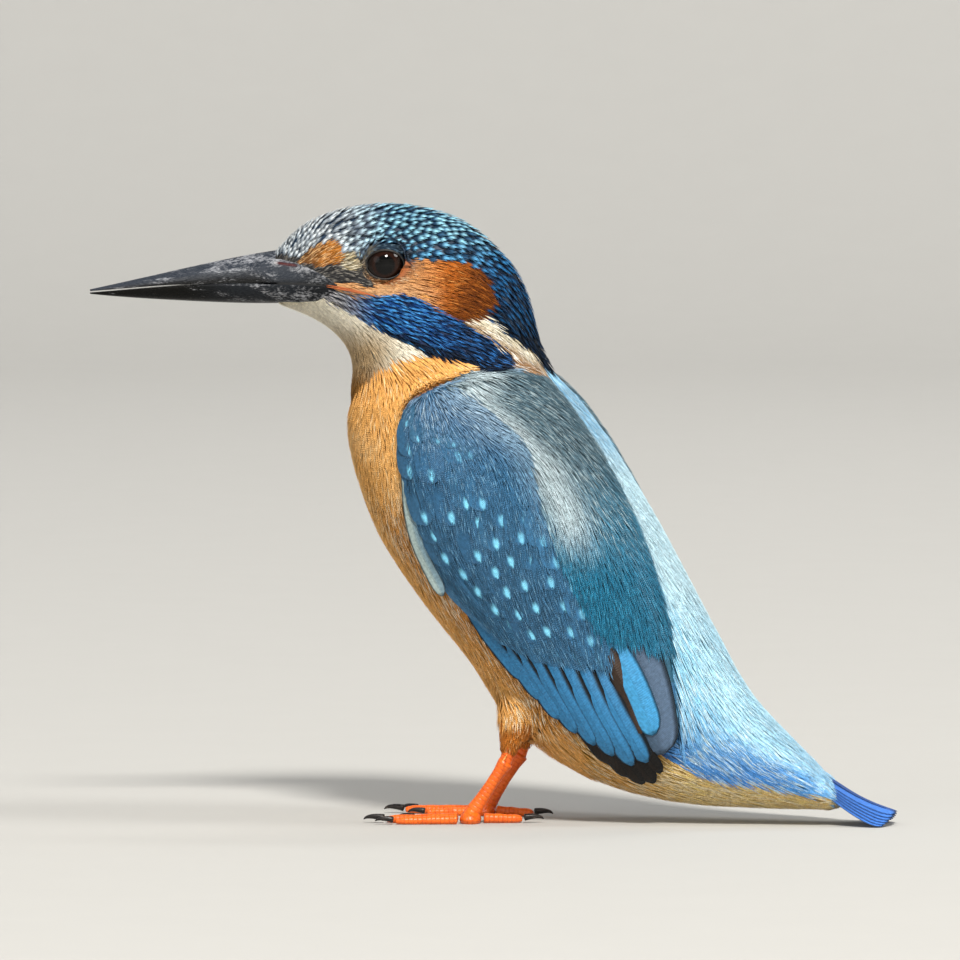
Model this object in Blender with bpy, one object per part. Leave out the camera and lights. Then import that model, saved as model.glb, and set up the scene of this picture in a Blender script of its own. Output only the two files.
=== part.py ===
"""Common kingfisher, a still life-size model: solids for the body, wings, tail, bill, eyes and feet.

The bird faces -Y with its left side at +X. It stands on z = 0 on the flats of its soles and tail tip.
"""

import math

import bmesh
import bpy
from mathutils import Vector

MM = 0.001
GAP = 0.3                 # clearance between neighbouring pieces, mm
CENTRE_Y = 3.0            # moves the middle of the whole length to y = 0, mm

# The head is turned to the bird's left: the turn grows with height through the neck.
HEAD_TURN = math.radians(9.0)
TURN_FROM = 69.0
TURN_TO = 80.0
TURN_AXIS_Y = 2.0

# Sections of the body from the bill's root to the tail coverts, in mm. Each lies in the plane
# through its top point and its bottom point, both given as (y, z) on the middle line.
# half = half width, belly = where it is widest from top (0) to bottom (1), full = roundness.
STATIONS = {
    "bill_root":   dict(top=(-34.2, 95.0), bottom=(-34.0, 86.2), half=3.7, belly=0.56, full=0.95),
    "forehead":    dict(top=(-29.6, 99.5), bottom=(-28.8, 84.2), half=5.7, belly=0.62, full=0.95),
    "lores":       dict(top=(-23.4, 102.1), bottom=(-25.3, 82.2), half=7.4, belly=0.58, full=0.92),
    "brow":        dict(top=(-16.0, 103.1), bottom=(-22.9, 79.9), half=8.8, belly=0.56, full=0.90),
    "crown":       dict(top=(-8.8, 102.4), bottom=(-21.7, 77.9), half=10.1, belly=0.56, full=0.90),
    "hind_crown":  dict(top=(-2.2, 100.0), bottom=(-21.3, 76.3), half=11.1, belly=0.54, full=0.90),
    "nape":        dict(top=(3.2, 95.7), bottom=(-21.3, 74.7), half=11.8, belly=0.53, full=0.92),
    "hind_neck":   dict(top=(6.9, 90.8), bottom=(-21.5, 72.9), half=12.4, belly=0.52, full=0.92),
    "neck_fold":   dict(top=(8.9, 85.6), bottom=(-21.8, 70.9), half=13.0, belly=0.50, full=0.92),
    "neck":        dict(top=(10.2, 80.2), bottom=(-22.2, 68.4), half=13.8, belly=0.50, full=0.92),
    "shoulder":    dict(top=(12.9, 74.6), bottom=(-22.3, 65.0), half=15.6, belly=0.50, full=0.92),
    "mantle":      dict(top=(17.4, 69.3), bottom=(-21.5, 60.3), half=17.2, belly=0.50, full=0.92),
    "chest":       dict(top=(21.8, 63.3), bottom=(-19.7, 54.4), half=18.0, belly=0.50, full=0.92),
    "breast":      dict(top=(26.0, 56.7), bottom=(-16.9, 47.5), half=18.1, belly=0.50, full=0.92),
    "back":        dict(top=(30.0, 50.0), bottom=(-12.6, 40.7), half=17.7, belly=0.50, full=0.92),
    "belly":       dict(top=(33.6, 43.4), bottom=(-7.3, 33.5), half=16.8, belly=0.50, full=0.92),
    "flank":       dict(top=(37.1, 36.9), bottom=(-0.9, 25.6), half=15.4, belly=0.50, full=0.94),
    "loin":        dict(top=(40.4, 30.8), bottom=(6.2, 14.6), half=13.8, belly=0.48, full=0.95),
    "vent":        dict(top=(43.3, 25.4), bottom=(18.8, 6.9), half=12.0, belly=0.46, full=0.96),
    "tail_base":   dict(top=(46.4, 20.6), bottom=(32.4, 3.3), half=10.4, belly=0.44, full=0.97),
    "coverts":     dict(top=(50.8, 15.9), bottom=(45.0, 2.5), half=8.8, belly=0.42, full=0.98),
    "covert_tips": dict(top=(57.0, 9.6), bottom=(57.6, 2.3), half=7.2, belly=0.40, full=1.0),
}
PLACE = {name: index for index, name in enumerate(STATIONS)}
RING_POINTS = 30
STEPS_PER_STATION = 2

# Eyes: balls set in round sockets on the turned head, mm.
EYE_CENTRE = (6.1, -15.7, 92.8)
EYE_RADIUS = 4.0
SOCKET_RADIUS = EYE_RADIUS + GAP
EYE_RINGS = 10
EYE_SIDES = 18

# Bill: heights along its length, from the feathers (0) to the tip (1).
BILL_ROOT_Y = -34.2
BILL_TIP_Y = -64.9
CULMEN = (95.0, 93.9, 92.7, 91.2, 89.9, 88.5)
CUTTING_EDGE = (89.6, 89.6, 89.45, 89.1, 88.6, 88.1)
MANDIBLE = (86.2, 86.25, 86.5, 86.8, 87.2, 87.75)
BILL_HALF = (3.6, 3.0, 2.45, 1.85, 1.15, 0.35)
LOWER_SHORTER = 0.8
LOWER_NARROWER = 0.88
BILL_STEPS = 10
BILL_SIDES = 8
BILL_ROUNDNESS = (0.8, 0.86)   # of a section, across and upright; 1 is an ellipse, less is squarer
MOUTH_OPENING = 0.16      # half the gap between the bill's halves at mid length, mm

# Folded wing on the body: its upper and lower edges as shares of the way from back to belly.
WING_ROWS = (
    (9.30, 0.33, 0.46), (9.48, 0.16, 0.585), (9.8, 0.055, 0.64), (10.3, 0.035, 0.675),
    (11.0, 0.032, 0.705), (12.0, 0.032, 0.752), (13.0, 0.038, 0.797), (14.0, 0.050, 0.825),
    (15.0, 0.075, 0.805), (16.0, 0.115, 0.785), (17.0, 0.180, 0.755), (17.6, 0.255, 0.755),
    (18.05, 0.345, 0.735), (18.3, 0.42, 0.68),
)
PRIMARY_ROWS = (
    (18.05, 0.765, 0.845), (18.2, 0.745, 0.86), (18.36, 0.715, 0.87), (18.55, 0.725, 0.88),
    (18.72, 0.765, 0.885), (18.84, 0.82, 0.875),
)
WING_THICK = 2.3
WING_EDGE = 0.75
WING_ROUNDNESS = 0.6      # how fast the wing thickens behind its edge
WING_END_SHARE = 0.12     # thickness left at the wing's two ends, as a share of a half turn
PRIMARY_THICK = 1.2
WING_COLUMNS = 13

# Tail: a fan of stiff feathers, arched across, with its tip flat on the floor, mm.
TAIL_LINE = ((57.6, 9.0), (60.4, 7.2), (63.3, 5.4), (66.2, 4.0), (68.6, 3.1), (70.3, 2.4))
TAIL_HALF = (6.6, 7.0, 7.3, 7.3, 6.5, 3.6)
TAIL_THICK = (1.7, 1.6, 1.45, 1.3, 1.1, 0.9)
TAIL_ARCH = (4.6, 4.2, 3.7, 3.3, 2.8, 2.0)
TAIL_ARCH_POWER = 1.7     # flat along the middle, steeper at the sides
TAIL_EDGE_THIN = 0.45     # share of the thickness lost at the sides
TAIL_LEAST = 0.55         # thickness kept where the tail is laid on the floor
TAIL_COLUMNS = 12

# Legs and feet, mm. The left foot; the right one mirrors it.
LEG_X = 8.2
HIP = (8.0, 19.5)
ANKLE = (5.6, 10.2)
FOOT = (-0.3, 1.25)
TOE_OUT = math.radians(7.0)
PAD_HALF_WIDTH = 2.9
PAD_HALF_LENGTH = 1.9
PAD_HEIGHT = 2.3
PAD_ROWS = ((0.62, 0.86), (0.3, 1.0), (0.0, 0.86))    # share of its height, share of its width
LEG_ROWS = ((0.0, 1.35), (0.18, 1.05), (0.45, 1.0), (0.72, 1.15), (0.9, 1.4))   # share down, radius
LEG_SIDES = 12
THIGH_INWARD = 0.6        # the thigh's top leans this far towards the body
THIGH_ROWS = ((0.0, 4.5), (0.2, 4.2), (0.45, 3.4), (0.7, 2.6), (0.88, 2.0), (1.0, 1.45))
THIGH_SIDES = 14
SOLE_SINK = 0.84          # height of a toe's middle line in toe radii, so that its sole is flat
TOE_STEPS = 8
TOE_SIDES = 8
TOE_TAPER = 0.22          # share of the radius lost towards the tip
TOE_DIP = 0.2             # share of the height lost towards the tip
TOE_END = 0.72            # radius of the last ring as a share
KNUCKLES = 2.5            # swellings along a toe
KNUCKLE_SWELL = 0.07
CLAW_STEPS = 5
CLAW_SIDES = 6
CLAW_WIDTH = 0.62         # of the claw's root in toe radii
CLAW_TIP = 0.07           # radius at the point, mm
CLAW_BEND = 1.35          # radians of arc from root to point
CLAW_ARCH = 0.35          # how far the claw rises before it comes down, mm
CLAW_LOWEST = 0.12
TOES = {
    "inner":  dict(across=-2.05, heading=-13.0, length=7.2, radius=0.84, claw=2.9),
    "middle": dict(across=0.0, heading=0.0, length=11.8, radius=0.95, claw=3.5),
    "outer":  dict(across=2.05, heading=5.0, length=10.2, radius=0.86, claw=3.1),
    "hind":   dict(across=-0.5, heading=186.0, length=6.4, radius=0.95, claw=3.3),
}

COLOURS = {
    "feathers_blue":   (0.010, 0.130, 0.330),
    "feathers_teal":   (0.020, 0.150, 0.240),
    "feathers_azure":  (0.050, 0.360, 0.720),
    "feathers_orange": (0.560, 0.190, 0.035),
    "feathers_brown":  (0.060, 0.045, 0.035),
    "horn_black":      (0.012, 0.012, 0.014),
    "eye_brown":       (0.018, 0.009, 0.006),
    "leg_scales":      (0.720, 0.130, 0.030),
    "claw_horn":       (0.050, 0.020, 0.015),
}
ROUGHNESS = {"horn_black": 0.35, "eye_brown": 0.05, "leg_scales": 0.45, "claw_horn": 0.3}
FEATHER_ROUGHNESS = 0.7


def clear_scene():
    for item in list(bpy.data.objects):
        bpy.data.objects.remove(item, do_unlink=True)


def smooth_value(values, place):
    """Catmull-Rom value through a row of numbers or tuples at a fractional place."""
    last = len(values) - 1
    place = min(max(place, 0.0), float(last))
    index = min(int(place), last - 1)
    share = place - index
    row = [values[min(max(index + step, 0), last)] for step in (-1, 0, 1, 2)]
    weights = (
        -0.5 * share + share ** 2 - 0.5 * share ** 3,
        1.0 - 2.5 * share ** 2 + 1.5 * share ** 3,
        0.5 * share + 2.0 * share ** 2 - 1.5 * share ** 3,
        -0.5 * share ** 2 + 0.5 * share ** 3,
    )
    if isinstance(row[0], tuple):
        return tuple(sum(w * item[axis] for w, item in zip(weights, row)) for axis in range(len(row[0])))
    return sum(w * item for w, item in zip(weights, row))


TOPS = [entry["top"] for entry in STATIONS.values()]
BOTTOMS = [entry["bottom"] for entry in STATIONS.values()]
HALVES = [entry["half"] for entry in STATIONS.values()]
BELLIES = [entry["belly"] for entry in STATIONS.values()]
FULLS = [entry["full"] for entry in STATIONS.values()]


def signed_power(value, power):
    return math.copysign(abs(value) ** power, value)


def body_point(place, angle):
    """Point on the body: place along the stations, angle 0 at the back, pi at the belly."""
    top = smooth_value(TOPS, place)
    bottom = smooth_value(BOTTOMS, place)
    belly = smooth_value(BELLIES, place)
    full = smooth_value(FULLS, place)
    level = signed_power(math.cos(angle), full)
    share = belly - belly * level if level > 0.0 else belly - (1.0 - belly) * level
    x = smooth_value(HALVES, place) * signed_power(math.sin(angle), full)
    return Vector((x, top[0] + (bottom[0] - top[0]) * share, top[1] + (bottom[1] - top[1]) * share))


def angle_at(place, share):
    """Angle of the body point that lies the given share of the way from back to belly."""
    belly = smooth_value(BELLIES, place)
    full = smooth_value(FULLS, place)
    level = (belly - share) / belly if share < belly else (belly - share) / (1.0 - belly)
    return math.acos(max(-1.0, min(1.0, signed_power(level, 1.0 / full))))


def body_normal(place, angle):
    step = 0.02
    along = body_point(place + step, angle) - body_point(place - step, angle)
    around = body_point(place, angle + step) - body_point(place, angle - step)
    return around.cross(along).normalized()


def turn_head(point):
    """Yaw that grows with height, so the head looks to the bird's left."""
    share = min(max((point.z - TURN_FROM) / (TURN_TO - TURN_FROM), 0.0), 1.0)
    angle = HEAD_TURN * share * share * (3.0 - 2.0 * share)
    y = point.y - TURN_AXIS_Y
    return Vector((
        point.x * math.cos(angle) - y * math.sin(angle),
        TURN_AXIS_Y + point.x * math.sin(angle) + y * math.cos(angle),
        point.z,
    ))


def material(name):
    existing = bpy.data.materials.get(name)
    if existing:
        return existing
    made = bpy.data.materials.new(name)
    made.use_nodes = True
    shader = made.node_tree.nodes["Principled BSDF"]
    shader.inputs["Base Color"].default_value = (*COLOURS[name], 1.0)
    shader.inputs["Roughness"].default_value = ROUGHNESS.get(name, FEATHER_ROUGHNESS)
    shader.inputs["Metallic"].default_value = 0.0
    return made


def add_piece(name, points, faces, material_name):
    """Mesh object from points in mm; faces are made to look outward and shaded smooth."""
    mesh = bpy.data.meshes.new(name)
    placed = [turn_head(Vector(point)) for point in points]
    mesh.from_pydata([(p.x * MM, (p.y - CENTRE_Y) * MM, p.z * MM) for p in placed], [], faces)
    edit = bmesh.new()
    edit.from_mesh(mesh)
    bmesh.ops.recalc_face_normals(edit, faces=edit.faces)
    edit.to_mesh(mesh)
    edit.free()
    mesh.shade_smooth()
    mesh.set_sharp_from_angle(angle=math.radians(50.0))
    mesh.materials.append(material(material_name))
    piece = bpy.data.objects.new(name, mesh)
    bpy.context.scene.collection.objects.link(piece)
    return piece


def loft(rings):
    """Closed body through rings with equal point counts; each end is a fan about its middle."""
    count = len(rings[0])
    points = [point for ring in rings for point in ring]
    faces = []
    for row in range(len(rings) - 1):
        for column in range(count):
            after = (column + 1) % count
            first = row * count
            faces.append((first + column, first + after, first + count + after, first + count + column))
    for row in (0, len(rings) - 1):
        middle = len(points)
        points.append(sum((Vector(point) for point in rings[row]), Vector()) / count)
        for column in range(count):
            faces.append((middle, row * count + column, row * count + (column + 1) % count))
    return points, faces


def body_ring(place, swell=0.0):
    ring = []
    for column in range(RING_POINTS):
        angle = 2.0 * math.pi * column / RING_POINTS
        point = body_point(place, angle)
        if swell:
            point = point + body_normal(place, angle) * swell
        ring.append(point)
    return ring


def section_normal(place):
    """Direction square to the section, pointing from head to tail."""
    top = Vector((0.0, *smooth_value(TOPS, place)))
    bottom = Vector((0.0, *smooth_value(BOTTOMS, place)))
    across = (bottom - top).normalized()
    ahead = Vector((0.0, across.z, -across.y))
    later_top = Vector((0.0, *smooth_value(TOPS, place + 0.1)))
    later_bottom = Vector((0.0, *smooth_value(BOTTOMS, place + 0.1)))
    return ahead if ahead.dot(later_top + later_bottom - top - bottom) > 0.0 else -ahead


def body_rings(start, end, swell=0.0, open_start=False):
    """Rings from one place to another; after a cut the first ring stands one gap back."""
    steps = round((end - start) * STEPS_PER_STATION)
    rings = [body_ring(start + (end - start) * step / steps, swell) for step in range(steps + 1)]
    if open_start:
        shift = section_normal(start) * GAP
        rings[0] = [point + shift for point in rings[0]]
    return rings


def add_body():
    """Head, neck, trunk and rump: one form parted by thin cuts."""
    cuts = (
        ("head", "bill_root", "nape", "feathers_blue"),
        ("neck", "nape", "neck", "feathers_orange"),
        ("trunk", "neck", "vent", "feathers_orange"),
        ("rump", "vent", "covert_tips", "feathers_azure"),
    )
    pieces = {}
    for name, start, end, paint in cuts:
        rings = body_rings(PLACE[start], PLACE[end], open_start=name != "head")
        pieces[name] = add_piece(name, *loft(rings), paint)
    return pieces


def add_cutter(name, points, faces):
    cutter = add_piece(name, points, faces, "horn_black")
    cutter.hide_render = True
    cutter.display_type = "WIRE"
    return cutter


def subtract(piece, cutter):
    cut = piece.modifiers.new("cut_" + cutter.name, "BOOLEAN")
    cut.operation = "DIFFERENCE"
    cut.solver = "EXACT"
    cut.object = cutter


def ball(centre, radius):
    """Ball as rings about the x axis, so that its pole looks sideways."""
    rings = EYE_RINGS
    count = EYE_SIDES
    centre = Vector(centre)
    points = [centre + Vector((radius, 0.0, 0.0)), centre - Vector((radius, 0.0, 0.0))]
    faces = []
    for row in range(1, rings):
        tilt = math.pi * row / rings
        for column in range(count):
            turn = 2.0 * math.pi * column / count
            out = radius * math.sin(tilt)
            spot = Vector((radius * math.cos(tilt), out * math.cos(turn), out * math.sin(turn)))
            points.append(centre + spot)
    for column in range(count):
        after = (column + 1) % count
        faces.append((0, 2 + column, 2 + after))
        last = 2 + (rings - 2) * count
        faces.append((1, last + after, last + column))
        for row in range(rings - 2):
            first = 2 + row * count
            faces.append((first + column, first + count + column, first + count + after, first + after))
    return points, faces


def add_eyes(head):
    for name, side in (("left", 1.0), ("right", -1.0)):
        centre = (EYE_CENTRE[0] * side, EYE_CENTRE[1], EYE_CENTRE[2])
        add_piece("eye_" + name, *ball(centre, EYE_RADIUS), "eye_brown")
        subtract(head, add_cutter("socket_" + name, *ball(centre, SOCKET_RADIUS)))


def bill_rings(lower):
    """Rings of one half of the bill: rounded on its outer side, flat where the halves meet."""
    rings = []
    tip = BILL_TIP_Y + (LOWER_SHORTER if lower else 0.0)
    for step in range(BILL_STEPS + 1):
        share = step / BILL_STEPS
        place = share * (len(CULMEN) - 1)
        y = BILL_ROOT_Y - GAP + (tip - BILL_ROOT_Y + GAP) * share
        edge = smooth_value(CUTTING_EDGE, place)
        outer = smooth_value(MANDIBLE if lower else CULMEN, place)
        half = smooth_value(BILL_HALF, place) * (LOWER_NARROWER if lower else 1.0)
        opening = MOUTH_OPENING + GAP * 0.5 * math.sin(math.pi * share)
        edge = edge - opening if lower else edge + opening * 0.2
        ring = []
        for turn in range(BILL_SIDES + 1):
            angle = math.pi * turn / BILL_SIDES
            across = signed_power(math.cos(angle), BILL_ROUNDNESS[0])
            reach = signed_power(math.sin(angle), BILL_ROUNDNESS[1])
            ring.append(Vector((half * across, y, edge + (outer - edge) * reach)))
        ring.append(Vector((-half * 0.4, y, edge)))
        ring.append(Vector((half * 0.4, y, edge)))
        rings.append(ring)
    return rings


def add_bill():
    add_piece("bill_upper", *loft(bill_rings(lower=False)), "horn_black")
    add_piece("bill_lower", *loft(bill_rings(lower=True)), "horn_black")


def shell_over_body(rows, thick, side):
    """Closed shell over the body between two edges, thin at its rim and full in the middle."""
    outer = []
    inner = []
    last = len(rows) - 1
    for index, (place, upper, lower) in enumerate(rows):
        along = WING_END_SHARE + (1.0 - 2.0 * WING_END_SHARE) * index / last
        end_fade = math.sqrt(math.sin(math.pi * along))
        outer_row = []
        inner_row = []
        for column in range(WING_COLUMNS):
            across = column / (WING_COLUMNS - 1)
            angle = angle_at(place, upper) * (1.0 - across) + angle_at(place, lower) * across
            point = body_point(place, angle)
            normal = body_normal(place, angle)
            fade = math.sin(math.pi * across) ** WING_ROUNDNESS * end_fade
            height = GAP + WING_EDGE + (thick - WING_EDGE) * fade
            outer_row.append(point + normal * height)
            inner_row.append(point + normal * GAP * 1.5)
        outer.append(outer_row)
        inner.append(inner_row)
    return sheet_solid(outer, inner, side)


def sheet_solid(outer, inner, side=1.0):
    """Closed solid between two grids of points with the same layout."""
    rows = len(outer)
    columns = len(outer[0])
    points = [Vector((p.x * side, p.y, p.z)) for grid in (outer, inner) for row in grid for p in row]
    below = rows * columns
    faces = []
    for row in range(rows - 1):
        for column in range(columns - 1):
            a = row * columns + column
            faces.append((a, a + 1, a + columns + 1, a + columns))
            faces.append((below + a, below + a + columns, below + a + columns + 1, below + a + 1))
    rim = list(range(columns))
    rim += [row * columns + columns - 1 for row in range(1, rows)]
    rim += [(rows - 1) * columns + column for column in range(columns - 2, -1, -1)]
    rim += [row * columns for row in range(rows - 2, 0, -1)]
    for index, here in enumerate(rim):
        after = rim[(index + 1) % len(rim)]
        faces.append((here, below + here, below + after, after))
    return points, faces


def add_wings():
    for name, side in (("left", 1.0), ("right", -1.0)):
        add_piece("wing_" + name, *shell_over_body(WING_ROWS, WING_THICK, side), "feathers_teal")
        primaries = shell_over_body(PRIMARY_ROWS, PRIMARY_THICK, side)
        add_piece("primaries_" + name, *primaries, "feathers_brown")


def add_tail():
    """Arched fan, high along its middle; what would reach below the floor is laid flat on it."""
    outer = []
    inner = []
    rows = len(TAIL_LINE) * 2 - 1
    for row in range(rows):
        place = row * 0.5
        y, z = smooth_value(TAIL_LINE, place)
        half = smooth_value(TAIL_HALF, place)
        thick = smooth_value(TAIL_THICK, place)
        arch = smooth_value(TAIL_ARCH, place)
        outer_row = []
        inner_row = []
        for column in range(TAIL_COLUMNS + 1):
            across = 2.0 * column / TAIL_COLUMNS - 1.0
            edge = 1.0 - TAIL_EDGE_THIN * abs(across) ** 3
            top = z - arch * abs(across) ** TAIL_ARCH_POWER
            outer_row.append(Vector((half * across, y, max(top, TAIL_LEAST))))
            inner_row.append(Vector((half * across, y, max(top - thick * edge, 0.0))))
        outer.append(outer_row)
        inner.append(inner_row)
    return add_piece("tail", *sheet_solid(outer, inner), "feathers_blue")


def tube(path, radii, count):
    """Rings along a path of points; radii are half widths, and nothing goes below the floor."""
    rings = []
    for index, point in enumerate(path):
        ahead = path[min(index + 1, len(path) - 1)] - path[max(index - 1, 0)]
        ahead.normalize()
        sideways = ahead.cross(Vector((0.0, 0.0, 1.0)))
        if sideways.length < 0.2:
            sideways = Vector((1.0, 0.0, 0.0))
        sideways.normalize()
        upward = sideways.cross(ahead)
        ring = []
        for column in range(count):
            angle = 2.0 * math.pi * (column + 0.5) / count
            out = sideways * math.cos(angle) + upward * math.sin(angle)
            spot = point + out * radii[index]
            spot.z = max(spot.z, 0.0)
            ring.append(spot)
        rings.append(ring)
    return rings


def mirrored(rings, side):
    return [[Vector((p.x * side, p.y, p.z)) for p in ring] for ring in rings]


def foot_point(forward, across, z):
    """Point of the left foot from its own forward and outward distances."""
    x = LEG_X + across * math.cos(TOE_OUT) + forward * math.sin(TOE_OUT)
    y = FOOT[0] - forward * math.cos(TOE_OUT) + across * math.sin(TOE_OUT)
    return Vector((x, y, z))


def toe_rings(toe):
    """A toe with slight joints along it, flat where it meets the floor."""
    heading = math.radians(toe["heading"])
    ahead = (math.cos(heading), math.sin(heading))
    start = PAD_HALF_LENGTH + GAP
    backward = ahead[0] < 0.0
    radius = toe["radius"]
    path = []
    radii = []
    for step in range(TOE_STEPS + 1):
        share = step / TOE_STEPS
        run = toe["length"] * share
        forward = (-start if backward else start) + ahead[0] * run
        across = toe["across"] + ahead[1] * run
        knuckle = 1.0 + KNUCKLE_SWELL * math.cos(2.0 * math.pi * share * KNUCKLES)
        path.append(foot_point(forward, across, radius * SOLE_SINK * (1.0 - TOE_DIP * share)))
        radii.append(radius * knuckle * (1.0 - TOE_TAPER * share))
    radii[-1] *= TOE_END
    return tube(path, radii, TOE_SIDES)


def claw_rings(toe):
    """A curved horn cone that leaves the toe's end and comes down to a point by the floor."""
    heading = math.radians(toe["heading"])
    ahead = (math.cos(heading), math.sin(heading))
    start = PAD_HALF_LENGTH + GAP
    backward = ahead[0] < 0.0
    root_height = toe["radius"] * 0.95
    path = []
    radii = []
    for step in range(CLAW_STEPS + 1):
        share = step / CLAW_STEPS
        run = toe["length"] + GAP + toe["claw"] * math.sin(share * CLAW_BEND) / math.sin(CLAW_BEND)
        forward = (-start if backward else start) + ahead[0] * run
        across = toe["across"] + ahead[1] * run
        height = root_height * (1.0 - 0.58 * share ** 2) + CLAW_ARCH * math.sin(share * 2.4)
        path.append(foot_point(forward, across, max(height, CLAW_LOWEST)))
        radii.append(toe["radius"] * CLAW_WIDTH * (1.0 - share) ** 0.8 + CLAW_TIP)
    return tube(path, radii, CLAW_SIDES)


def add_leg(name, side):
    """Shank with its sole pad, in scaly skin, from the ankle down to the floor."""
    ankle = Vector((LEG_X, *ANKLE))
    foot = Vector((LEG_X, *FOOT))
    path = [ankle.lerp(foot, share) for share, radius in LEG_ROWS]
    rings = tube(path, [radius for share, radius in LEG_ROWS], LEG_SIDES)
    pad = []
    for height, share in PAD_ROWS:
        ring = []
        for column in range(LEG_SIDES):
            angle = 2.0 * math.pi * (column + 0.5) / LEG_SIDES
            across = math.cos(angle) * PAD_HALF_WIDTH * share
            forward = math.sin(angle) * PAD_HALF_LENGTH * share
            ring.append(foot_point(forward, across, PAD_HEIGHT * height))
        pad.append(ring)
    rings = [align_ring(ring, pad[0]) for ring in rings]
    add_piece("leg_" + name, *loft(mirrored(rings + pad, side)), "leg_scales")


def align_ring(ring, guide):
    """Turn and order a ring so that its points face those of the guide ring."""
    middle = sum(ring, Vector()) / len(ring)
    goal = sum(guide, Vector()) / len(guide)
    best = None
    for order in (ring, ring[::-1]):
        for shift in range(len(ring)):
            moved = order[shift:] + order[:shift]
            cost = sum(((a - middle) - (b - goal)).length for a, b in zip(moved, guide))
            if best is None or cost < best[0]:
                best = (cost, moved)
    return best[1]


def add_thigh(name, side, cutter):
    """Feathered upper leg that comes out of the belly and narrows to the ankle."""
    hip = Vector((LEG_X - THIGH_INWARD, *HIP))
    ankle = Vector((LEG_X, *ANKLE))
    end = ankle - (ankle - hip).normalized() * GAP * 2.0
    path = [hip.lerp(end, share) for share, radius in THIGH_ROWS]
    rings = tube(path, [radius for share, radius in THIGH_ROWS], THIGH_SIDES)
    thigh = add_piece("thigh_" + name, *loft(mirrored(rings, side)), "feathers_orange")
    subtract(thigh, cutter)


def add_legs():
    cutter_rings = body_rings(PLACE["back"], PLACE["tail_base"], swell=GAP)
    cutter = add_cutter("belly_form", *loft(cutter_rings))
    for name, side in (("left", 1.0), ("right", -1.0)):
        add_thigh(name, side, cutter)
        add_leg(name, side)
        for toe_name, toe in TOES.items():
            toe_mesh = loft(mirrored(toe_rings(toe), side))
            add_piece(f"toe_{toe_name}_{name}", *toe_mesh, "leg_scales")
            claw_mesh = loft(mirrored(claw_rings(toe), side))
            add_piece(f"claw_{toe_name}_{name}", *claw_mesh, "claw_horn")


def build():
    clear_scene()
    pieces = add_body()
    add_eyes(pieces["head"])
    add_bill()
    add_wings()
    add_tail()
    add_legs()


build()
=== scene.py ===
import math

import bpy
import bmesh
import numpy as np
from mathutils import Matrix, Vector
from mathutils.bvhtree import BVHTree


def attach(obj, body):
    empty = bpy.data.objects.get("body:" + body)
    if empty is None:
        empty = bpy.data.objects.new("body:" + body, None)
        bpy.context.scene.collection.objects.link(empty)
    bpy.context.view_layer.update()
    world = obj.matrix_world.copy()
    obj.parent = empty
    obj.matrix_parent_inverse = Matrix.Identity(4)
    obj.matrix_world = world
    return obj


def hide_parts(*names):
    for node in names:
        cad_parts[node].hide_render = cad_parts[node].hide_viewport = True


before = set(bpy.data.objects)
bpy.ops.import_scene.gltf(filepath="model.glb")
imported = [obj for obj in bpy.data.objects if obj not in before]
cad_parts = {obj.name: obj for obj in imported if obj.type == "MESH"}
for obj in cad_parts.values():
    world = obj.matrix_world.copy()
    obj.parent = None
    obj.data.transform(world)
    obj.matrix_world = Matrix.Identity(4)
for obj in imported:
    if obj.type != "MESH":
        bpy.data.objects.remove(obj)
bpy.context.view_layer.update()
rng = np.random.default_rng(7)
scene = bpy.context.scene
mm = 0.001
sides = ((1, "Left", "left"), (-1, "Right", "right"))

# The bird's pose. Work is done in straight millimetres, as if the head looked dead ahead,
# and every point is turned with the neck at the end.
pose = {
    "headTurn": 9.0,      # degrees to the bird's left
    "turnFrom": 69.0,     # height where the neck starts to turn
    "turnTo": 80.0,
    "axisY": 2.0,
    "centreY": 3.0,
}


def hexToLinear(code):
    raw = np.array([int(code[i:i + 2], 16) / 255 for i in (1, 3, 5)])
    return np.where(raw <= 0.04045, raw / 12.92, ((raw + 0.055) / 1.055) ** 2.4)


def opaque(code, share=1.0):
    # a shader's own colour value
    return (*(hexToLinear(code) * share), 1)


def yawed(points, sign):
    share = np.clip((points[..., 2] - pose["turnFrom"]) / (pose["turnTo"] - pose["turnFrom"]), 0, 1)
    angle = sign * (math.radians(pose["headTurn"]) * share * share * (3 - 2 * share))
    x, y = points[..., 0], points[..., 1] - pose["axisY"]
    return np.stack([x * np.cos(angle) - y * np.sin(angle),
                     x * np.sin(angle) + y * np.cos(angle) + pose["axisY"], points[..., 2]], axis=-1)


def toWorld(points):
    return (yawed(np.asarray(points, float), 1) - np.array([0, pose["centreY"], 0])) * mm


def toStraight(points):
    return yawed(np.asarray(points, float) / mm + np.array([0, pose["centreY"], 0]), -1)


def unit(vectors):
    return vectors / np.maximum(np.linalg.norm(vectors, axis=-1, keepdims=True), 1e-9)


def laidFlat(way, normals):
    return unit(way - normals * (way * normals).sum(axis=1, keepdims=True))


def smooth(value, low, high):
    share = np.clip((value - low) / (high - low), 0, 1)
    return share * share * (3 - 2 * share)


def mixed(first, second, share):
    return first + (second - first) * np.asarray(share)[..., None]


# One cheap wavy noise for mottling, made of sines at odd angles.
waveNumbers = rng.normal(size=(14, 3))
wavePhases = rng.uniform(0, 2 * math.pi, 14)


def mottle(points, size):
    scaled = np.asarray(points) @ waveNumbers.T * (2.2 / size) + wavePhases
    return np.sin(scaled).sum(axis=-1) / 3.8


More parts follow.
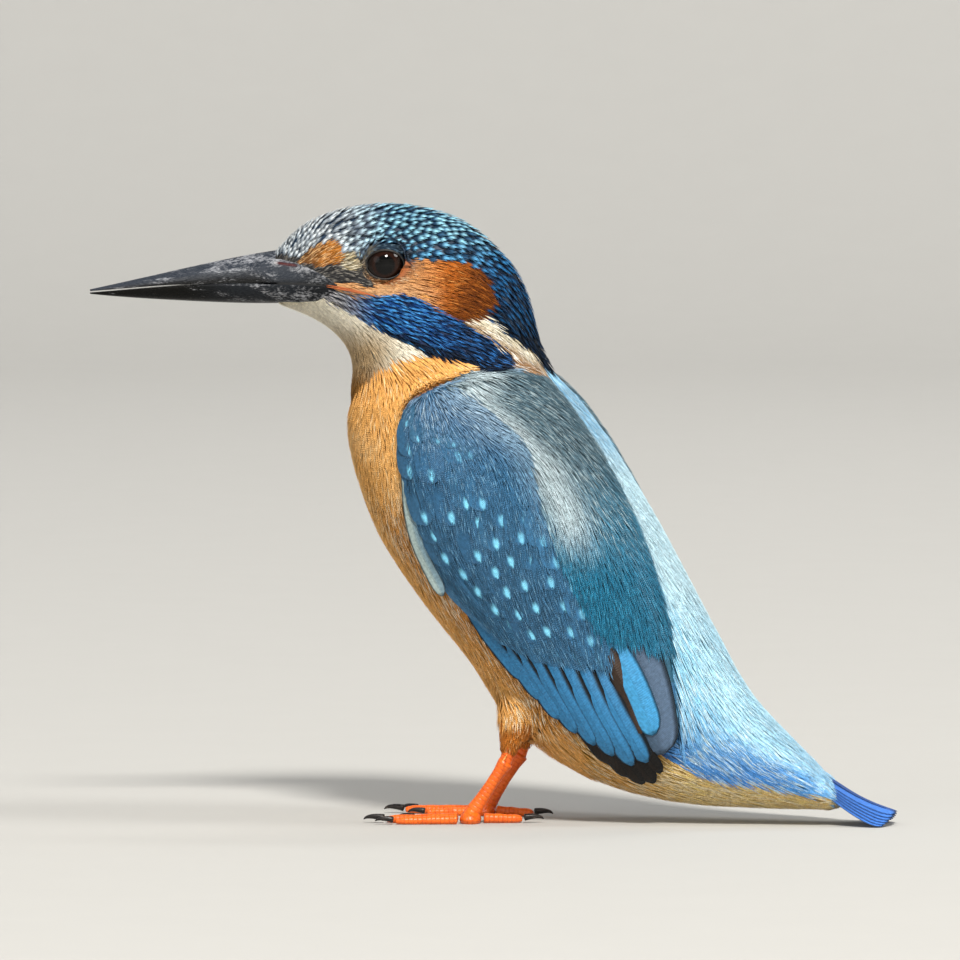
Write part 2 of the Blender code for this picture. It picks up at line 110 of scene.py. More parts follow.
def addNode(tree, kind, values):
    # nodes and sockets are linked in, plain values are set
    node = tree.nodes.new("ShaderNode" + kind)
    for name, value in values.items():
        if isinstance(value, bpy.types.Node):
            value = value.outputs[0]
        if isinstance(value, bpy.types.NodeSocket):
            tree.links.new(value, node.inputs[name])
        elif isinstance(name, int) or name in node.inputs:
            node.inputs[name].default_value = value
        else:
            setattr(node, name, value)
    return node


def addMath(tree, operation, *values):
    return addNode(tree, "Math", {"operation": operation, **dict(enumerate(values))})


def addVector(tree, operation, values):
    return addNode(tree, "VectorMath", {"operation": operation, **values})


def addRange(tree, value, low, high, start=0.0, end=1.0):
    return addNode(tree, "MapRange", {"Value": value, "From Min": low, "From Max": high, "To Min": start,
                                      "To Max": end})


def addNoise(tree, scale, detail, place):
    return addNode(tree, "TexNoise", {"Scale": scale, "Detail": detail, "Vector": place})


def addMix(tree, share, first, second):
    return addNode(tree, "Mix", {"data_type": "RGBA", 0: share, 6: first, 7: second}).outputs[2]


def addAttribute(tree, name, kind="Vector"):
    return addNode(tree, "Attribute", {"attribute_name": name}).outputs[kind]


def addParts(tree, vector):
    return addNode(tree, "SeparateXYZ", {"Vector": vector}).outputs


def ownSpace(tree):
    return addNode(tree, "TexCoord", {}).outputs["Object"]


def newMaterial(name):
    made = bpy.data.materials.new(name)
    made.use_nodes = True
    made.node_tree.nodes.clear()
    return made, made.node_tree


def finishMaterial(made, values, bump=None):
    # one shader, over a fine bump if given
    tree = made.node_tree
    if bump:
        values = {**values, "Normal": addNode(tree, "Bump", bump)}
    addNode(tree, "OutputMaterial", {"Surface": addNode(tree, "BsdfPrincipled", values)})
    return made


# Feather keratin: barbs hooked side by side. The eye sees fine slanting lines, a darker shaft and
# rim on the larger vanes, and a silky sheen.
featherLook = {
    "barbGap": 0.34,       # mm between barbs, drawn coarser than the real 0.1 mm so that it shows
    "barbHeight": 0.05,    # mm
    "fleck": 0.5,          # mm, soft unevenness of the colour
    "slant": 1.1,          # how far a barb runs on for each step away from the shaft
    "sheenRough": 0.35,
}
featherKinds = {
    "crown": {"name": "glossyBlueCrownFeather", "rough": 0.45, "sheen": 0.02, "tone": "#9fd0ff", "barb": 0.12,
              "spotAt": 0.84, "spotLong": 1.00, "spotWide": 1.50, "gloss": 0.14},
    "silky": {"name": "silkyLooseBlueFeather", "rough": 0.42, "sheen": 0.10, "tone": "#d8f0ff", "barb": 0.10,
              "gloss": 0.30},
    "soft": {"name": "softLooseWarmFeather", "rough": 0.70, "sheen": 0.08, "tone": "#ffe0b8", "barb": 0.12,
             "gloss": 0.15},
    "vane": {"name": "hookedVaneFeather", "rough": 0.50, "sheen": 0.06, "tone": "#a8d4f0", "barb": 0.18,
             "spotAt": 0.70, "spotLong": 0.40, "spotWide": 0.30, "gloss": 0.22},
}


def featherMaterial(kind):
    look = featherLook
    made, tree = newMaterial(kind["name"])
    place, amount = (addParts(tree, addAttribute(tree, name)) for name in ("barb", "mark"))
    # barbs slant away from the shaft on both sides
    line = addMath(tree, "SINE", addMath(tree, "MULTIPLY", place["X"], 2 * math.pi / look["barbGap"]))
    lineShade = addRange(tree, line, -1.0, 1.0, 1 - kind["barb"], 1 + kind["barb"] * 0.5)
    fleck = addNoise(tree, 1 / (look["fleck"] * mm), 3.0, ownSpace(tree))
    shade = addMath(tree, "MULTIPLY", lineShade, addRange(tree, fleck, 0.25, 0.75, 0.75, 1.25))
    # the dark shaft and rim
    across = addMath(tree, "ABSOLUTE", place["Y"])
    shaft = addMath(tree, "MULTIPLY", addRange(tree, across, 0.035, 0.085, 1.0, 0.0), amount["Y"])
    rim = addMath(tree, "MULTIPLY", addRange(tree, across, 0.74, 0.92), amount["Z"])
    dark = addMath(tree, "MAXIMUM", shaft, rim)
    colour = addAttribute(tree, "tint", "Color")
    if "spotAt" in kind:
        # the pale spot near the tip, with no dark shaft inside it
        offset = addNode(tree, "CombineXYZ", {"X": place["Z"], "Y": place["Y"]})
        centred = addVector(tree, "SUBTRACT", {0: offset, 1: (kind["spotAt"], 0, 0)})
        scaled = addVector(tree, "DIVIDE", {0: centred, 1: (kind["spotLong"], kind["spotWide"], 1)})
        spot = addRange(tree, addVector(tree, "LENGTH", {0: scaled}).outputs["Value"], 0.25, 1.1, 1.0, 0.0)
        spot.interpolation_type = "SMOOTHSTEP"
        weight = addMath(tree, "MULTIPLY", spot, amount["X"])
        colour = addMix(tree, weight, colour, addAttribute(tree, "light", "Color"))
        dark = addMath(tree, "MULTIPLY", dark, addMath(tree, "SUBTRACT", 1.0, weight))
    both = addMath(tree, "MULTIPLY", shade, addMath(tree, "SUBTRACT", 1.0, dark))
    return finishMaterial(made, {
        "Base Color": addVector(tree, "SCALE", {0: colour, "Scale": both}), "Roughness": kind["rough"],
        "Sheen Weight": kind["sheen"], "Sheen Roughness": look["sheenRough"], "Sheen Tint": opaque(kind["tone"]),
        "Specular IOR Level": kind["gloss"],
    }, {"Strength": 0.6, "Distance": look["barbHeight"] * mm, "Height": line})


# Beak horn: black keratin grown in lengthwise layers, worn grey along its ridges. Satin gloss.
# sheen is the colour of a painted bluish sheen, laid over the horn through the tint
hornLook = {"dark": "#040405", "mid": "#0e0f12", "worn": "#a3a4a8", "streak": 0.15, "rough": 0.24, "gloss": 0.30,
            "wornBy": 0.07, "sheen": "#2b3038"}


def hornMaterial(name, look):
    made, tree = newMaterial(name)
    barb = addAttribute(tree, "barb")
    stretched = addVector(tree, "MULTIPLY", {0: barb, 1: (0.22, 1.0, 1.0)})
    streak = addNoise(tree, 1 / look["streak"], 6.0, stretched)
    streak.inputs["Roughness"].default_value = 0.65
    scuff = addNoise(tree, 0.9, 4.0, stretched)
    layer = addMix(tree, addRange(tree, streak, 0.35, 0.7), opaque(look["dark"]), opaque(look["mid"]))
    # the third value of barb tells how worn a place is
    eager = addMath(tree, "MULTIPLY_ADD", addParts(tree, barb)["Z"], look["wornBy"],
                    addMath(tree, "MULTIPLY", streak, scuff))
    worn = addMix(tree, addRange(tree, eager, 0.30, 0.40, 0.0, 0.6), layer, opaque(look["worn"]))
    # the tint adds a painted bluish sheen on the bill's side and the dark red of the nostril
    return finishMaterial(made, {
        "IOR": 1.55, "Specular IOR Level": look["gloss"],
        "Base Color": addVector(tree, "ADD", {0: worn, 1: addAttribute(tree, "tint", "Color")}),
        "Roughness": addRange(tree, streak, 0.3, 0.7, look["rough"] - 0.08, look["rough"] + 0.16),
    }, {"Strength": 0.5, "Distance": 0.05 * mm, "Height": streak})


# Bird's eye: dark brown iris round a black pupil under a wet clear cornea, so it looks deep and bright.
eyeLook = {"pupil": 1.5, "iris": 2.75, "irisInner": "#23110a", "irisOuter": "#140905", "rim": "#030202"}


def eyeMaterial():
    made, tree = newMaterial("wetDarkBrownEye")
    barb = addAttribute(tree, "barb")
    away = addMath(tree, "MULTIPLY_ADD", addNoise(tree, 9.0, 4.0, barb), 0.25, addParts(tree, barb)["X"])
    ramp = addNode(tree, "ValToRGB", {"Fac": addRange(tree, away, 0.0, 4.0)})
    stops = ramp.color_ramp.elements
    stops[0].position = (eyeLook["pupil"] + 0.1) / 4
    stops[0].color = (0.002, 0.002, 0.002, 1)
    stops[1].position = (eyeLook["iris"] + 0.25) / 4
    stops[1].color = opaque(eyeLook["rim"])
    for at, key in ((eyeLook["pupil"] + 0.45, "irisInner"), (eyeLook["iris"] - 0.2, "irisOuter")):
        stops.new(at / 4).color = opaque(eyeLook[key])
    return finishMaterial(made, {"Roughness": 0.5, "Specular IOR Level": 0.0, "Coat Weight": 0.8,
                                 "Coat Roughness": 0.02, "Coat IOR": 1.33, "Base Color": ramp})


# Bare skin of lids, gape and feet: thin, scaly and a little waxy, with light scattered inside it.
bareSkins = {
    "gape": {"name": "waxyOrangeGapeSkin", "low": "#7c2c14", "high": "#c9743f", "grain": 0.3, "rough": 0.35},
    "lid": {"name": "darkWrinkledLidSkin", "low": "#060504", "high": "#15110e", "grain": 0.25, "rough": 0.5},
    "foot": {"name": "scaledOrangeFootSkin", "low": "#b8330c", "high": "#f0701c", "grain": 0.45, "rough": 0.38},
}


def bareSkinMaterial(look, scutes=0.0):
    made, tree = newMaterial(look["name"])
    own = ownSpace(tree)
    grain = addNode(tree, "TexVoronoi", {"Scale": 1 / (look["grain"] * mm), "Vector": own})
    ring = addMath(tree, "PINGPONG", addParts(tree, addAttribute(tree, "barb"))["X"], 0.5)
    seam = addMath(tree, "MULTIPLY", addRange(tree, ring, 0.0, 0.16), scutes)
    height = addMath(tree, "MULTIPLY_ADD", grain, 0.35, seam)
    share = addMath(tree, "MULTIPLY_ADD", height, 0.35, addNoise(tree, 0.5 / mm, 3.0, own))
    share.use_clamp = True
    return finishMaterial(made, {
        "Roughness": look["rough"], "IOR": 1.45, "Subsurface Weight": 0.15, "Subsurface Scale": 0.6 * mm,
        "Subsurface Radius": (1.0, 0.35, 0.2),
        "Base Color": addMix(tree, share, opaque(look["low"]), opaque(look["high"])),
    }, {"Strength": 0.8, "Distance": 0.12 * mm, "Height": height})


# Bird skin with down, seen only between feathers: matt, uneven, tinted like the coat above it.
def downMaterial():
    made, tree = newMaterial("downySkinTintedLikeCoat")
    fluff = addNoise(tree, 1 / (0.4 * mm), 4.0, ownSpace(tree))
    colour = addVector(tree, "SCALE", {0: addAttribute(tree, "tint", "Color"),
                                       "Scale": addRange(tree, fluff, 0.3, 0.7, 0.7, 1.2)})
    return finishMaterial(made, {"Roughness": 0.6, "IOR": 1.5, "Base Color": colour},
                          {"Strength": 0.6, "Distance": 0.1 * mm, "Height": fluff})


def addObject(name, data):
    made = bpy.data.objects.new(name, data)
    scene.collection.objects.link(made)
    return made


def showPiece(name, mesh, material):
    piece = addObject(name, mesh)
    mesh.materials.append(material)
    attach(piece, "root")
    return piece


def pointsOf(mesh):
    values = np.empty(len(mesh.vertices) * 3, np.float32)
    mesh.vertices.foreach_get("co", values)
    return values.reshape(-1, 3)


def movePoints(mesh, points):
    mesh.vertices.foreach_set("co", np.ascontiguousarray(points, np.float32).ravel())


def cornersOf(mesh):
    values = np.empty(len(mesh.loops), np.int32)
    mesh.loops.foreach_get("vertex_index", values)
    return values


def smoothFaces(mesh):
    mesh.polygons.foreach_set("use_smooth", np.ones(len(mesh.polygons), bool))


def meshFromArrays(name, points, faces):
    mesh = bpy.data.meshes.new(name)
    mesh.vertices.add(len(points))
    movePoints(mesh, points)
    mesh.loops.add(faces.size)
    mesh.loops.foreach_set("vertex_index", np.ascontiguousarray(faces, np.int32).ravel())
    mesh.polygons.add(len(faces))
    mesh.polygons.foreach_set("loop_start", np.arange(0, faces.size, faces.shape[1], dtype=np.int32))
    smoothFaces(mesh)
    mesh.update(calc_edges=True)
    return mesh


def meshFromParts(name, parts):
    mesh = bpy.data.meshes.new(name)
    parts.to_mesh(mesh)
    parts.free()
    return mesh


def joinLoft(parts, rings):
    # adds a closed loft to parts that are joined later
    points, faces = closedLoft(np.array(rings))
    mesh = meshFromArrays("loft", toWorld(points), faces)
    parts.from_mesh(mesh)
    bpy.data.meshes.remove(mesh)


def remeshed(name, parts, grain, evenness, rounds):
    # one closed skin round overlapping parts
    holder = addObject(name, meshFromParts(name, parts))
    remesh = holder.modifiers.new("remesh", "REMESH")
    remesh.mode = "VOXEL"
    remesh.voxel_size = grain * mm
    relax = holder.modifiers.new("relax", "SMOOTH")
    relax.factor = evenness
    relax.iterations = rounds
    graph = bpy.context.evaluated_depsgraph_get()
    mesh = bpy.data.meshes.new_from_object(holder.evaluated_get(graph))
    bpy.data.objects.remove(holder)
    return mesh


def setColours(mesh, name, colours):
    values = np.ones((len(colours), 4), np.float32)
    values[:, :3] = np.clip(colours, 0, 1)
    mesh.attributes.new(name, "FLOAT_COLOR", "POINT").data.foreach_set("color", values.ravel())


def setVectors(mesh, name, vectors):
    layer = mesh.attributes.new(name, "FLOAT_VECTOR", "POINT")
    layer.data.foreach_set("vector", np.ascontiguousarray(vectors, np.float32).ravel())


def ringGrid(rows, columns):
    # a grid of point numbers whose last column meets its first
    return np.pad(np.arange(rows * columns).reshape(rows, columns), ((0, 0), (0, 1)), mode="wrap")


def cells(grid):
    # the four corners round every cell of such a grid
    return zip(*(corner.ravel() for corner in (grid[:-1, :-1], grid[1:, :-1], grid[1:, 1:], grid[:-1, 1:])))


def gridFaces(grid):
    return [face for p, q, r, s in cells(grid) for face in ((p, s, r), (p, r, q))]


def sheetFaces(upper, lower):
    # two sheets back to back
    return [face for (p, q, r, s), (t, u, v, w) in zip(cells(upper), cells(lower))
            for face in ((p, q, r), (p, r, s), (t, v, u), (t, w, v))]


def closedLoft(rings):
    # joins even rings of points into a closed skin with both ends capped
    points = np.concatenate([rings.reshape(-1, 3), rings[0].mean(axis=0)[None], rings[-1].mean(axis=0)[None]])
    grid = ringGrid(*rings.shape[:2])
    caps = [face for a, b, c, d in zip(grid[0], grid[0, 1:], grid[-1], grid[-1, 1:])
            for face in ((b, a, len(points) - 2), (c, d, len(points) - 1))]
    return points, np.array(gridFaces(grid) + caps)


def setNormals(mesh, straight, normals):
    # feathers shade by the coat's form more than by each barb's own sides, as soft plumage does
    world = unit(toWorld(straight + normals * 0.05) - toWorld(straight))
    mesh.normals_split_custom_set_from_vertices(world.astype(np.float32).tolist())


def setMap(mesh, perVertex):
    layer = mesh.uv_layers.new(name="OFBake")
    layer.data.foreach_set("uv", np.ascontiguousarray(perVertex[cornersOf(mesh)], np.float32).ravel())


# Each patch of colour on the head is an outline seen from the side, in mm (y, z).
headPatches = {
    "crown": [(-36, 96.2), (-31.5, 95.4), (-29.3, 95.7), (-25.8, 97.4), (-22.4, 96.8), (-19.5, 96.2),
              (-15.6, 96.6), (-12, 95.0), (-6.3, 93.4), (-1.4, 92.9), (1.5, 90.3), (2.1, 87), (0.5, 84.4),
              (3.8, 81.4), (8.2, 78.1), (11.8, 75.0), (18, 75), (18, 112), (-36, 112)],
    "lores": [(-29.8, 93.2), (-28.6, 95.2), (-25.4, 96.7), (-22.6, 96.4), (-22.4, 94.0), (-23.7, 93.0),
              (-26, 92.7)],
    "spot": [(-22.2, 95.4), (-20.2, 95.2), (-19.2, 93.2), (-20.5, 91.6), (-22.8, 92.6), (-22.4, 94.6)],
    "mask": [(-36, 93.6), (-30.6, 93.2), (-26, 92.7), (-23.2, 92.8), (-20.8, 91.5), (-18.8, 90.8),
             (-17.0, 88.8), (-23.3, 89.8), (-27.0, 90.4), (-36, 92.9)],
    "horn": [(-36, 92.9), (-31.5, 92.5), (-27.0, 91.0), (-23.9, 89.9), (-23.6, 88.8), (-25.8, 87.6),
             (-29.5, 86.6), (-36, 85.6)],
    "ear": [(-23.6, 89.6), (-17.4, 88.9), (-15.2, 89.9), (-13.0, 91.2), (-11.4, 92.8), (-6.3, 93.4),
            (-1.4, 92.9), (1.5, 90.3), (2.1, 87), (0.5, 84.4), (-2.9, 83.7), (-7.3, 85.5), (-9.4, 87.1),
            (-13.4, 88.2), (-17.0, 87.7), (-21.1, 87.9)],
    "malar": [(-26.6, 88.2), (-21.1, 87.9), (-16.8, 87.7), (-13.4, 88.2), (-9.4, 87.1), (-7.3, 85.5),
              (-2.9, 83.4), (2.0, 80.7), (5.4, 77.8), (4.8, 75.6), (1.8, 74.6), (-1, 76.2), (-2.9, 77.2),
              (-7.3, 78.2), (-11, 79.3), (-15.9, 81.7), (-19, 83.3), (-22.7, 85.4), (-25.8, 87.0)],
    "throat": [(-36, 86.6), (-29.5, 87.0), (-25.4, 87.2), (-22.7, 85.4), (-19, 83.3), (-15.9, 81.7),
               (-11, 79.3), (-9.6, 78.6), (-10.6, 77.9), (-13.4, 77.3), (-16.5, 76.0), (-19, 74.1),
               (-20.6, 71.6), (-23.5, 69.5), (-28, 72), (-36, 82)],
    "collar": [(0.5, 84.5), (-3.1, 83.6), (2.0, 80.7), (5.4, 77.8), (6.2, 75.8), (7.6, 74.6), (12.2, 73.8),
               (8.4, 78.3), (3.8, 81.6)],
}

# Colours of each part of the plumage as sRGB hex: the feather's base, its tip and a light streak, then
# the material slot.
plumageRows = {
    "crown": ("#050c16", "#184468", "#a4e4fa", "plumage_blue"),
    "orbit": ("#0b1016", "#24394a", "#6f8a9c", "plumage_blue"),
    "lores": ("#7a4414", "#c07a30", "#ecc088", "plumage_orange"),
    "spot": ("#62543c", "#b4a684", "#efe6cc", "plumage_orange"),
    "mask": ("#121114", "#3a393a", "#8f8a82", "plumage_blue"),
    "horn": ("#141518", "#1c1d21", "#3c3d42", "bill_horn"),
    "ear": ("#7a3e0e", "#b5611a", "#e9a45a", "plumage_orange"),
    "malar": ("#020812", "#0c4184", "#52acf6", "plumage_blue"),
    "throat": ("#e6dabb", "#fbf4e0", "#f8f2e2", "plumage_orange"),
    "collar": ("#b39a6e", "#dcd4bb", "#fbf8ee", "plumage_orange"),
    "breast": ("#e0964a", "#f8b868", "#ffe2ae", "plumage_orange"),
    "back": ("#72c0ee", "#9adaf7", "#d8f4ff", "plumage_azure"),
    "vent": ("#b0722a", "#e0a655", "#fff2cf", "plumage_orange"),
    "thigh": ("#a85c20", "#cf7c30", "#eeb478", "plumage_orange"),
    "scapular": ("#0c2c3c", "#357d9c", "#bcd6de", "plumage_teal"),
    "covert": ("#153a57", "#36709a", "#74a9cc", "plumage_teal"),
}
plumage = {name: {"base": hexToLinear(base), "tip": hexToLinear(tip), "light": hexToLinear(light), "slot": slot}
           for name, (base, tip, light, slot) in plumageRows.items()}


def insideOutline(outline, y, z):
    inside = np.zeros(len(y), bool)
    corners = np.array(outline, float)
    for (y0, z0), (y1, z1) in zip(corners, np.roll(corners, -1, axis=0)):
        step = z1 - z0 if abs(z1 - z0) > 1e-9 else 1e-9
        inside ^= ((z0 > z) != (z1 > z)) & (y < (y1 - y0) * (z - z0) / step + y0)
    return inside


def outlineGap(outline, y, z):
    # distance from each point to the nearest side of an outline
    best = np.full(len(y), 1e9)
    corners = np.array(outline, float)
    for start, end in zip(corners, np.roll(corners, -1, axis=0)):
        step = end - start
        share = np.clip(((y - start[0]) * step[0] + (z - start[1]) * step[1]) / max((step ** 2).sum(), 1e-9), 0, 1)
        best = np.minimum(best, np.hypot(y - start[0] - share * step[0], z - start[1] - share * step[1]))
    return best


def lineAt(points, y):
    # height of a broken line at each y
    table = np.array(points, float)
    return np.interp(y, table[:, 0], table[:, 1])


# Line that parts the azure back and rump from the orange belly and vent, along the flank.
flankLine = [(-25, 112), (6, 78), (9.5, 72), (12, 64), (14, 56), (20, 35), (27, 15), (32, 11.8), (40, 9.8),
             (48, 8.0), (58, 5.6), (72, 4.0)]
# Line between head and body, and the outline of the shoulder.
headLine = [(-40, 72), (-20, 78), (-8, 78), (2, 75.5), (20, 76)]
shoulderOutline = [(-5.5, 73.4), (-2, 75.4), (3, 75.3), (8, 74.3), (12, 73.4), (18, 72), (18, 69), (-4, 69)]
# Edge between the wing's coverts and the scapulars that lie over it.
scapularLine = [(-12, 76), (-4.3, 73.9), (-0.2, 72.3), (3.2, 69.4), (6.7, 66.9), (9.5, 64.6), (11.5, 59),
                (13.2, 53), (16.2, 46), (19.5, 40), (22.0, 34), (24.6, 29.6), (26.5, 24)]

sliverParts = ["crown", "ear", "malar", "throat", "collar", "mask"]


def partOf(points, onWing):
    # which part of the plumage a point belongs to
    x, y, z = np.abs(points[:, 0]), points[:, 1], points[:, 2]
    part = np.full(len(points), "breast", dtype="<U9")
    dorsal = (z > lineAt(flankLine, y)) & (z < 77.5)
    part[dorsal & (y > 6)] = "back"
    part[(~dorsal) & (y > 16) & (z < 16)] = "vent"
    claimed = np.zeros(len(points), bool)
    for name in ("throat", "crown", "malar", "collar", "ear", "lores", "spot", "mask", "horn"):
        inside = insideOutline(headPatches[name], y, z)
        if name in ("lores", "spot", "mask"):
            inside &= x > 2.2
        part[inside] = name
        claimed |= inside
    # slivers between the outlines go to the nearest one
    spare = np.flatnonzero(~claimed & (z > lineAt(headLine, y)))
    gaps = np.array([outlineGap(headPatches[name], y[spare], z[spare]) for name in sliverParts])
    part[spare] = np.array(sliverParts)[gaps.argmin(axis=0)]
    part[insideOutline(shoulderOutline, y, z) & ~claimed & (x > 6)] = "scapular"
    part[onWing] = np.where(z > lineAt(scapularLine, y), "scapular", "covert")[onWing]
    return part


# Depth of the coat over the skin, in mm: least on the face, most on the back.
coatDepth = {"orbit": 0.3, "thigh": 0.6, "crown": 0.75, "lores": 0.4, "spot": 0.35, "mask": 0.3, "horn": 0.04,
             "ear": 0.5, "malar": 0.6, "throat": 0.55, "collar": 0.65, "breast": 1.0, "back": 1.1, "vent": 0.9,
             "scapular": 1.0, "covert": 0.75}

# The lie of the coat: at each place (y, z) the way the feathers point, in the same plane.
bodyLie = [
    (-33, 96.5, 0.72, 0.70), (-29, 99.5, 0.80, 0.60), (-24, 101.5, 0.95, 0.30), (-16, 103, 1, 0),
    (-8, 102.5, 0.97, -0.20), (-2, 100, 0.82, -0.57), (3.5, 95.5, 0.60, -0.80), (7.5, 89, 0.35, -0.94),
    (9.5, 83, 0.20, -0.98), (11, 77, 0.22, -0.97), (-24, 98, 0.98, 0.10), (-15, 98.5, 1, -0.12),
    (-7, 97, 0.95, -0.30), (0, 92, 0.75, -0.66), (5, 86, 0.55, -0.83), (7, 80, 0.45, -0.89),
    (-28, 94.5, 0.90, 0.40), (-24, 95.3, 0.95, 0.30), (-21, 93.8, 0.85, 0.50), (-22, 91.5, 0.9, -0.2),
    (-13, 90, 0.95, -0.25), (-6, 89, 0.97, -0.22), (0, 86.5, 0.88, -0.47), (-18, 88.5, 0.97, -0.2),
    (-23, 86.8, 0.93, -0.36), (-13, 84.5, 0.93, -0.36), (-4, 80.5, 0.93, -0.36), (3, 77.2, 0.88, -0.48),
    (-31, 86, 0.95, -0.3), (-26, 84, 0.88, -0.47), (-19, 81, 0.82, -0.57), (-13, 78.8, 0.86, -0.50),
    (-22, 77, 0.30, -0.95), (3.5, 81.5, 0.82, -0.57), (8, 77, 0.80, -0.60),
    (-21.5, 71, 0.08, -1), (-15, 73, 0.40, -0.92), (-8, 76, 0.62, -0.78), (-20, 65, 0.08, -1),
    (-15, 60, 0.22, -0.97), (-17, 52, 0.32, -0.95), (-12, 44, 0.48, -0.88), (-5, 34, 0.60, -0.80),
    (3, 23, 0.70, -0.71), (12, 14, 0.82, -0.57), (12, 75, 0.66, -0.75), (18, 69, 0.60, -0.80),
    (26, 57, 0.50, -0.86), (33, 44, 0.47, -0.88), (38, 34, 0.45, -0.89), (43, 25, 0.44, -0.90),
    (47, 18, 0.66, -0.75), (54, 12, 0.86, -0.50), (20, 8, 0.92, -0.38), (32, 5, 0.97, -0.20),
    (45, 4, 0.99, -0.10), (56, 4, 0.99, -0.12), (6.5, 14, -0.12, -0.99), (7, 18, 0.05, -1),
    (34, 22, 0.50, -0.87), (38, 14, 0.80, -0.60), (46, 10, 0.90, -0.42), (55, 7.5, 0.93, -0.36),
]
wingLie = [
    (-9, 71, -0.05, -1), (-10.5, 64, 0.06, -1), (-10, 57, 0.16, -0.99), (-7, 49, 0.36, -0.93),
    (-2, 41, 0.50, -0.86), (-4, 72.5, 0.75, -0.66), (-5, 68, 0.38, -0.92), (0, 70, 0.85, -0.53),
    (1, 66, 0.60, -0.80), (5, 66, 0.85, -0.53), (-4, 62, 0.12, -0.99), (3, 61, 0.36, -0.93),
    (0, 54, 0.12, -0.99), (7, 56, 0.22, -0.98), (7, 48, 0.16, -0.99), (8, 40, 0.28, -0.96),
    (13, 34, 0.36, -0.93), (2, 33, 0.50, -0.86), (9, 24, 0.58, -0.81), (18, 22, 0.50, -0.87),
    (6, 73, 0.90, -0.44), (12, 72, 0.76, -0.65), (12, 66, 0.62, -0.78), (18, 66, 0.58, -0.81),
    (17, 59, 0.36, -0.93), (24, 57, 0.46, -0.89), (18, 50, 0.18, -0.98), (27, 47, 0.34, -0.94),
    (22, 41, 0.12, -0.99), (31, 38, 0.22, -0.98), (26, 33, 0.12, -0.99), (33, 30, 0.10, -0.99),
]
guideReach, guideFall = 0.8, -1.8   # how softly the guides blend into each other


def lieAt(points, normals, guides):
    flow = np.zeros((len(points), 2))
    weightSum = np.zeros(len(points))
    for y, z, dy, dz in np.array(guides, float):
        weight = ((points[:, 1] - y) ** 2 + (points[:, 2] - z) ** 2 + guideReach) ** guideFall
        flow += weight[:, None] * np.array([dy, dz])
        weightSum += weight
    flow /= weightSum[:, None]
    return laidFlat(np.stack([np.zeros(len(points)), flow[:, 0], flow[:, 1]], axis=1), normals)


# Feathers run on over the tail's root, on a short sleeve of skin: y, top, bottom and half width in mm.
tailSleeve = [(50, 15.6, 3.0, 8.4), (54, 12.2, 2.6, 7.9), (57, 9.7, 2.2, 7.2), (59.5, 7.6, 2.0, 6.3),
              (61, 6.0, 2.6, 4.8)]
skinSettings = {
    "grain": 0.55,        # mm, size of the skin's facets
    "swell": 0.28,        # mm, closes the thin cuts between the solids before they are joined
    "evenness": 0.6,
    "rounds": 7,
}
fleshNodes = ["head", "neck", "trunk", "rump", "wing_left", "wing_right", "thigh_left", "thigh_right"]


def treeOf(*names):
    points, faces = [], []
    for name in names:
        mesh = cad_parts[name].data
        start = len(points)
        points.extend(map(tuple, toStraight(np.array([v.co for v in mesh.vertices]))))
        faces.extend([tuple(start + i for i in face.vertices) for face in mesh.polygons])
    return BVHTree.FromPolygons(points, faces)


def solidOf(name):
    # one of the frame's solids with its corners welded
    piece = bmesh.new()
    piece.from_mesh(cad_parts[name].data)
    bmesh.ops.remove_doubles(piece, verts=piece.verts, dist=1e-6)
    return piece


def buildSkinMesh():
    parts = bmesh.new()
    for name in fleshNodes:
        piece = solidOf(name)
        bmesh.ops.recalc_face_normals(piece, faces=piece.faces)
        piece.normal_update()
        for vertex in piece.verts:
            vertex.co += vertex.normal * skinSettings["swell"] * mm
        swollen = meshFromParts("swollen", piece)
        parts.from_mesh(swollen)
        bpy.data.meshes.remove(swollen)
    turn = np.linspace(0, 2 * math.pi, 24, endpoint=False)
    joinLoft(parts, [[(half * math.sin(t), y, (top + low + (top - low) * math.cos(t)) / 2) for t in turn]
                     for y, top, low, half in tailSleeve])
    return remeshed("joinedFlesh", parts, skinSettings["grain"], skinSettings["evenness"], skinSettings["rounds"])


skinMesh = buildSkinMesh()
print("skin joined:", len(skinMesh.vertices), "points")
outerPoints = toStraight(pointsOf(skinMesh))
quads = cornersOf(skinMesh).reshape(-1, 4)
wingTree = treeOf("wing_left", "wing_right")
trunkTree = treeOf("head", "neck", "trunk", "rump", "thigh_left", "thigh_right")
wingRange = {"low": 6, "high": 78, "near": 1.6}   # heights and greatest gap to its solid, in mm


def isOnWing(points):
    # nearer to a wing's solid than to the body's
    flags = np.zeros(len(points), bool)
    for index, point in enumerate(points):
        if wingRange["low"] <= point[2] <= wingRange["high"]:
            wing = wingTree.find_nearest(Vector(point))[3]
            flags[index] = wing < wingRange["near"] and wing < trunkTree.find_nearest(Vector(point))[3]
    return flags


def vertexNormals(points):
    crossed = np.cross(points[quads[:, 2]] - points[quads[:, 0]], points[quads[:, 3]] - points[quads[:, 1]])
    normals = np.zeros_like(points)
    for corner in range(4):
        np.add.at(normals, quads[:, corner], crossed)
    return unit(normals)


shares = np.bincount(quads.ravel(), minlength=len(outerPoints)).astype(float)   # faces round each point


def neighbourMean(values):
    total = np.zeros_like(values)
    for corner in range(4):
        np.add.at(total, quads[:, corner], values[quads[:, (corner + 1) % 4]])
    return total / shares.reshape((-1,) + (1,) * (values.ndim - 1))


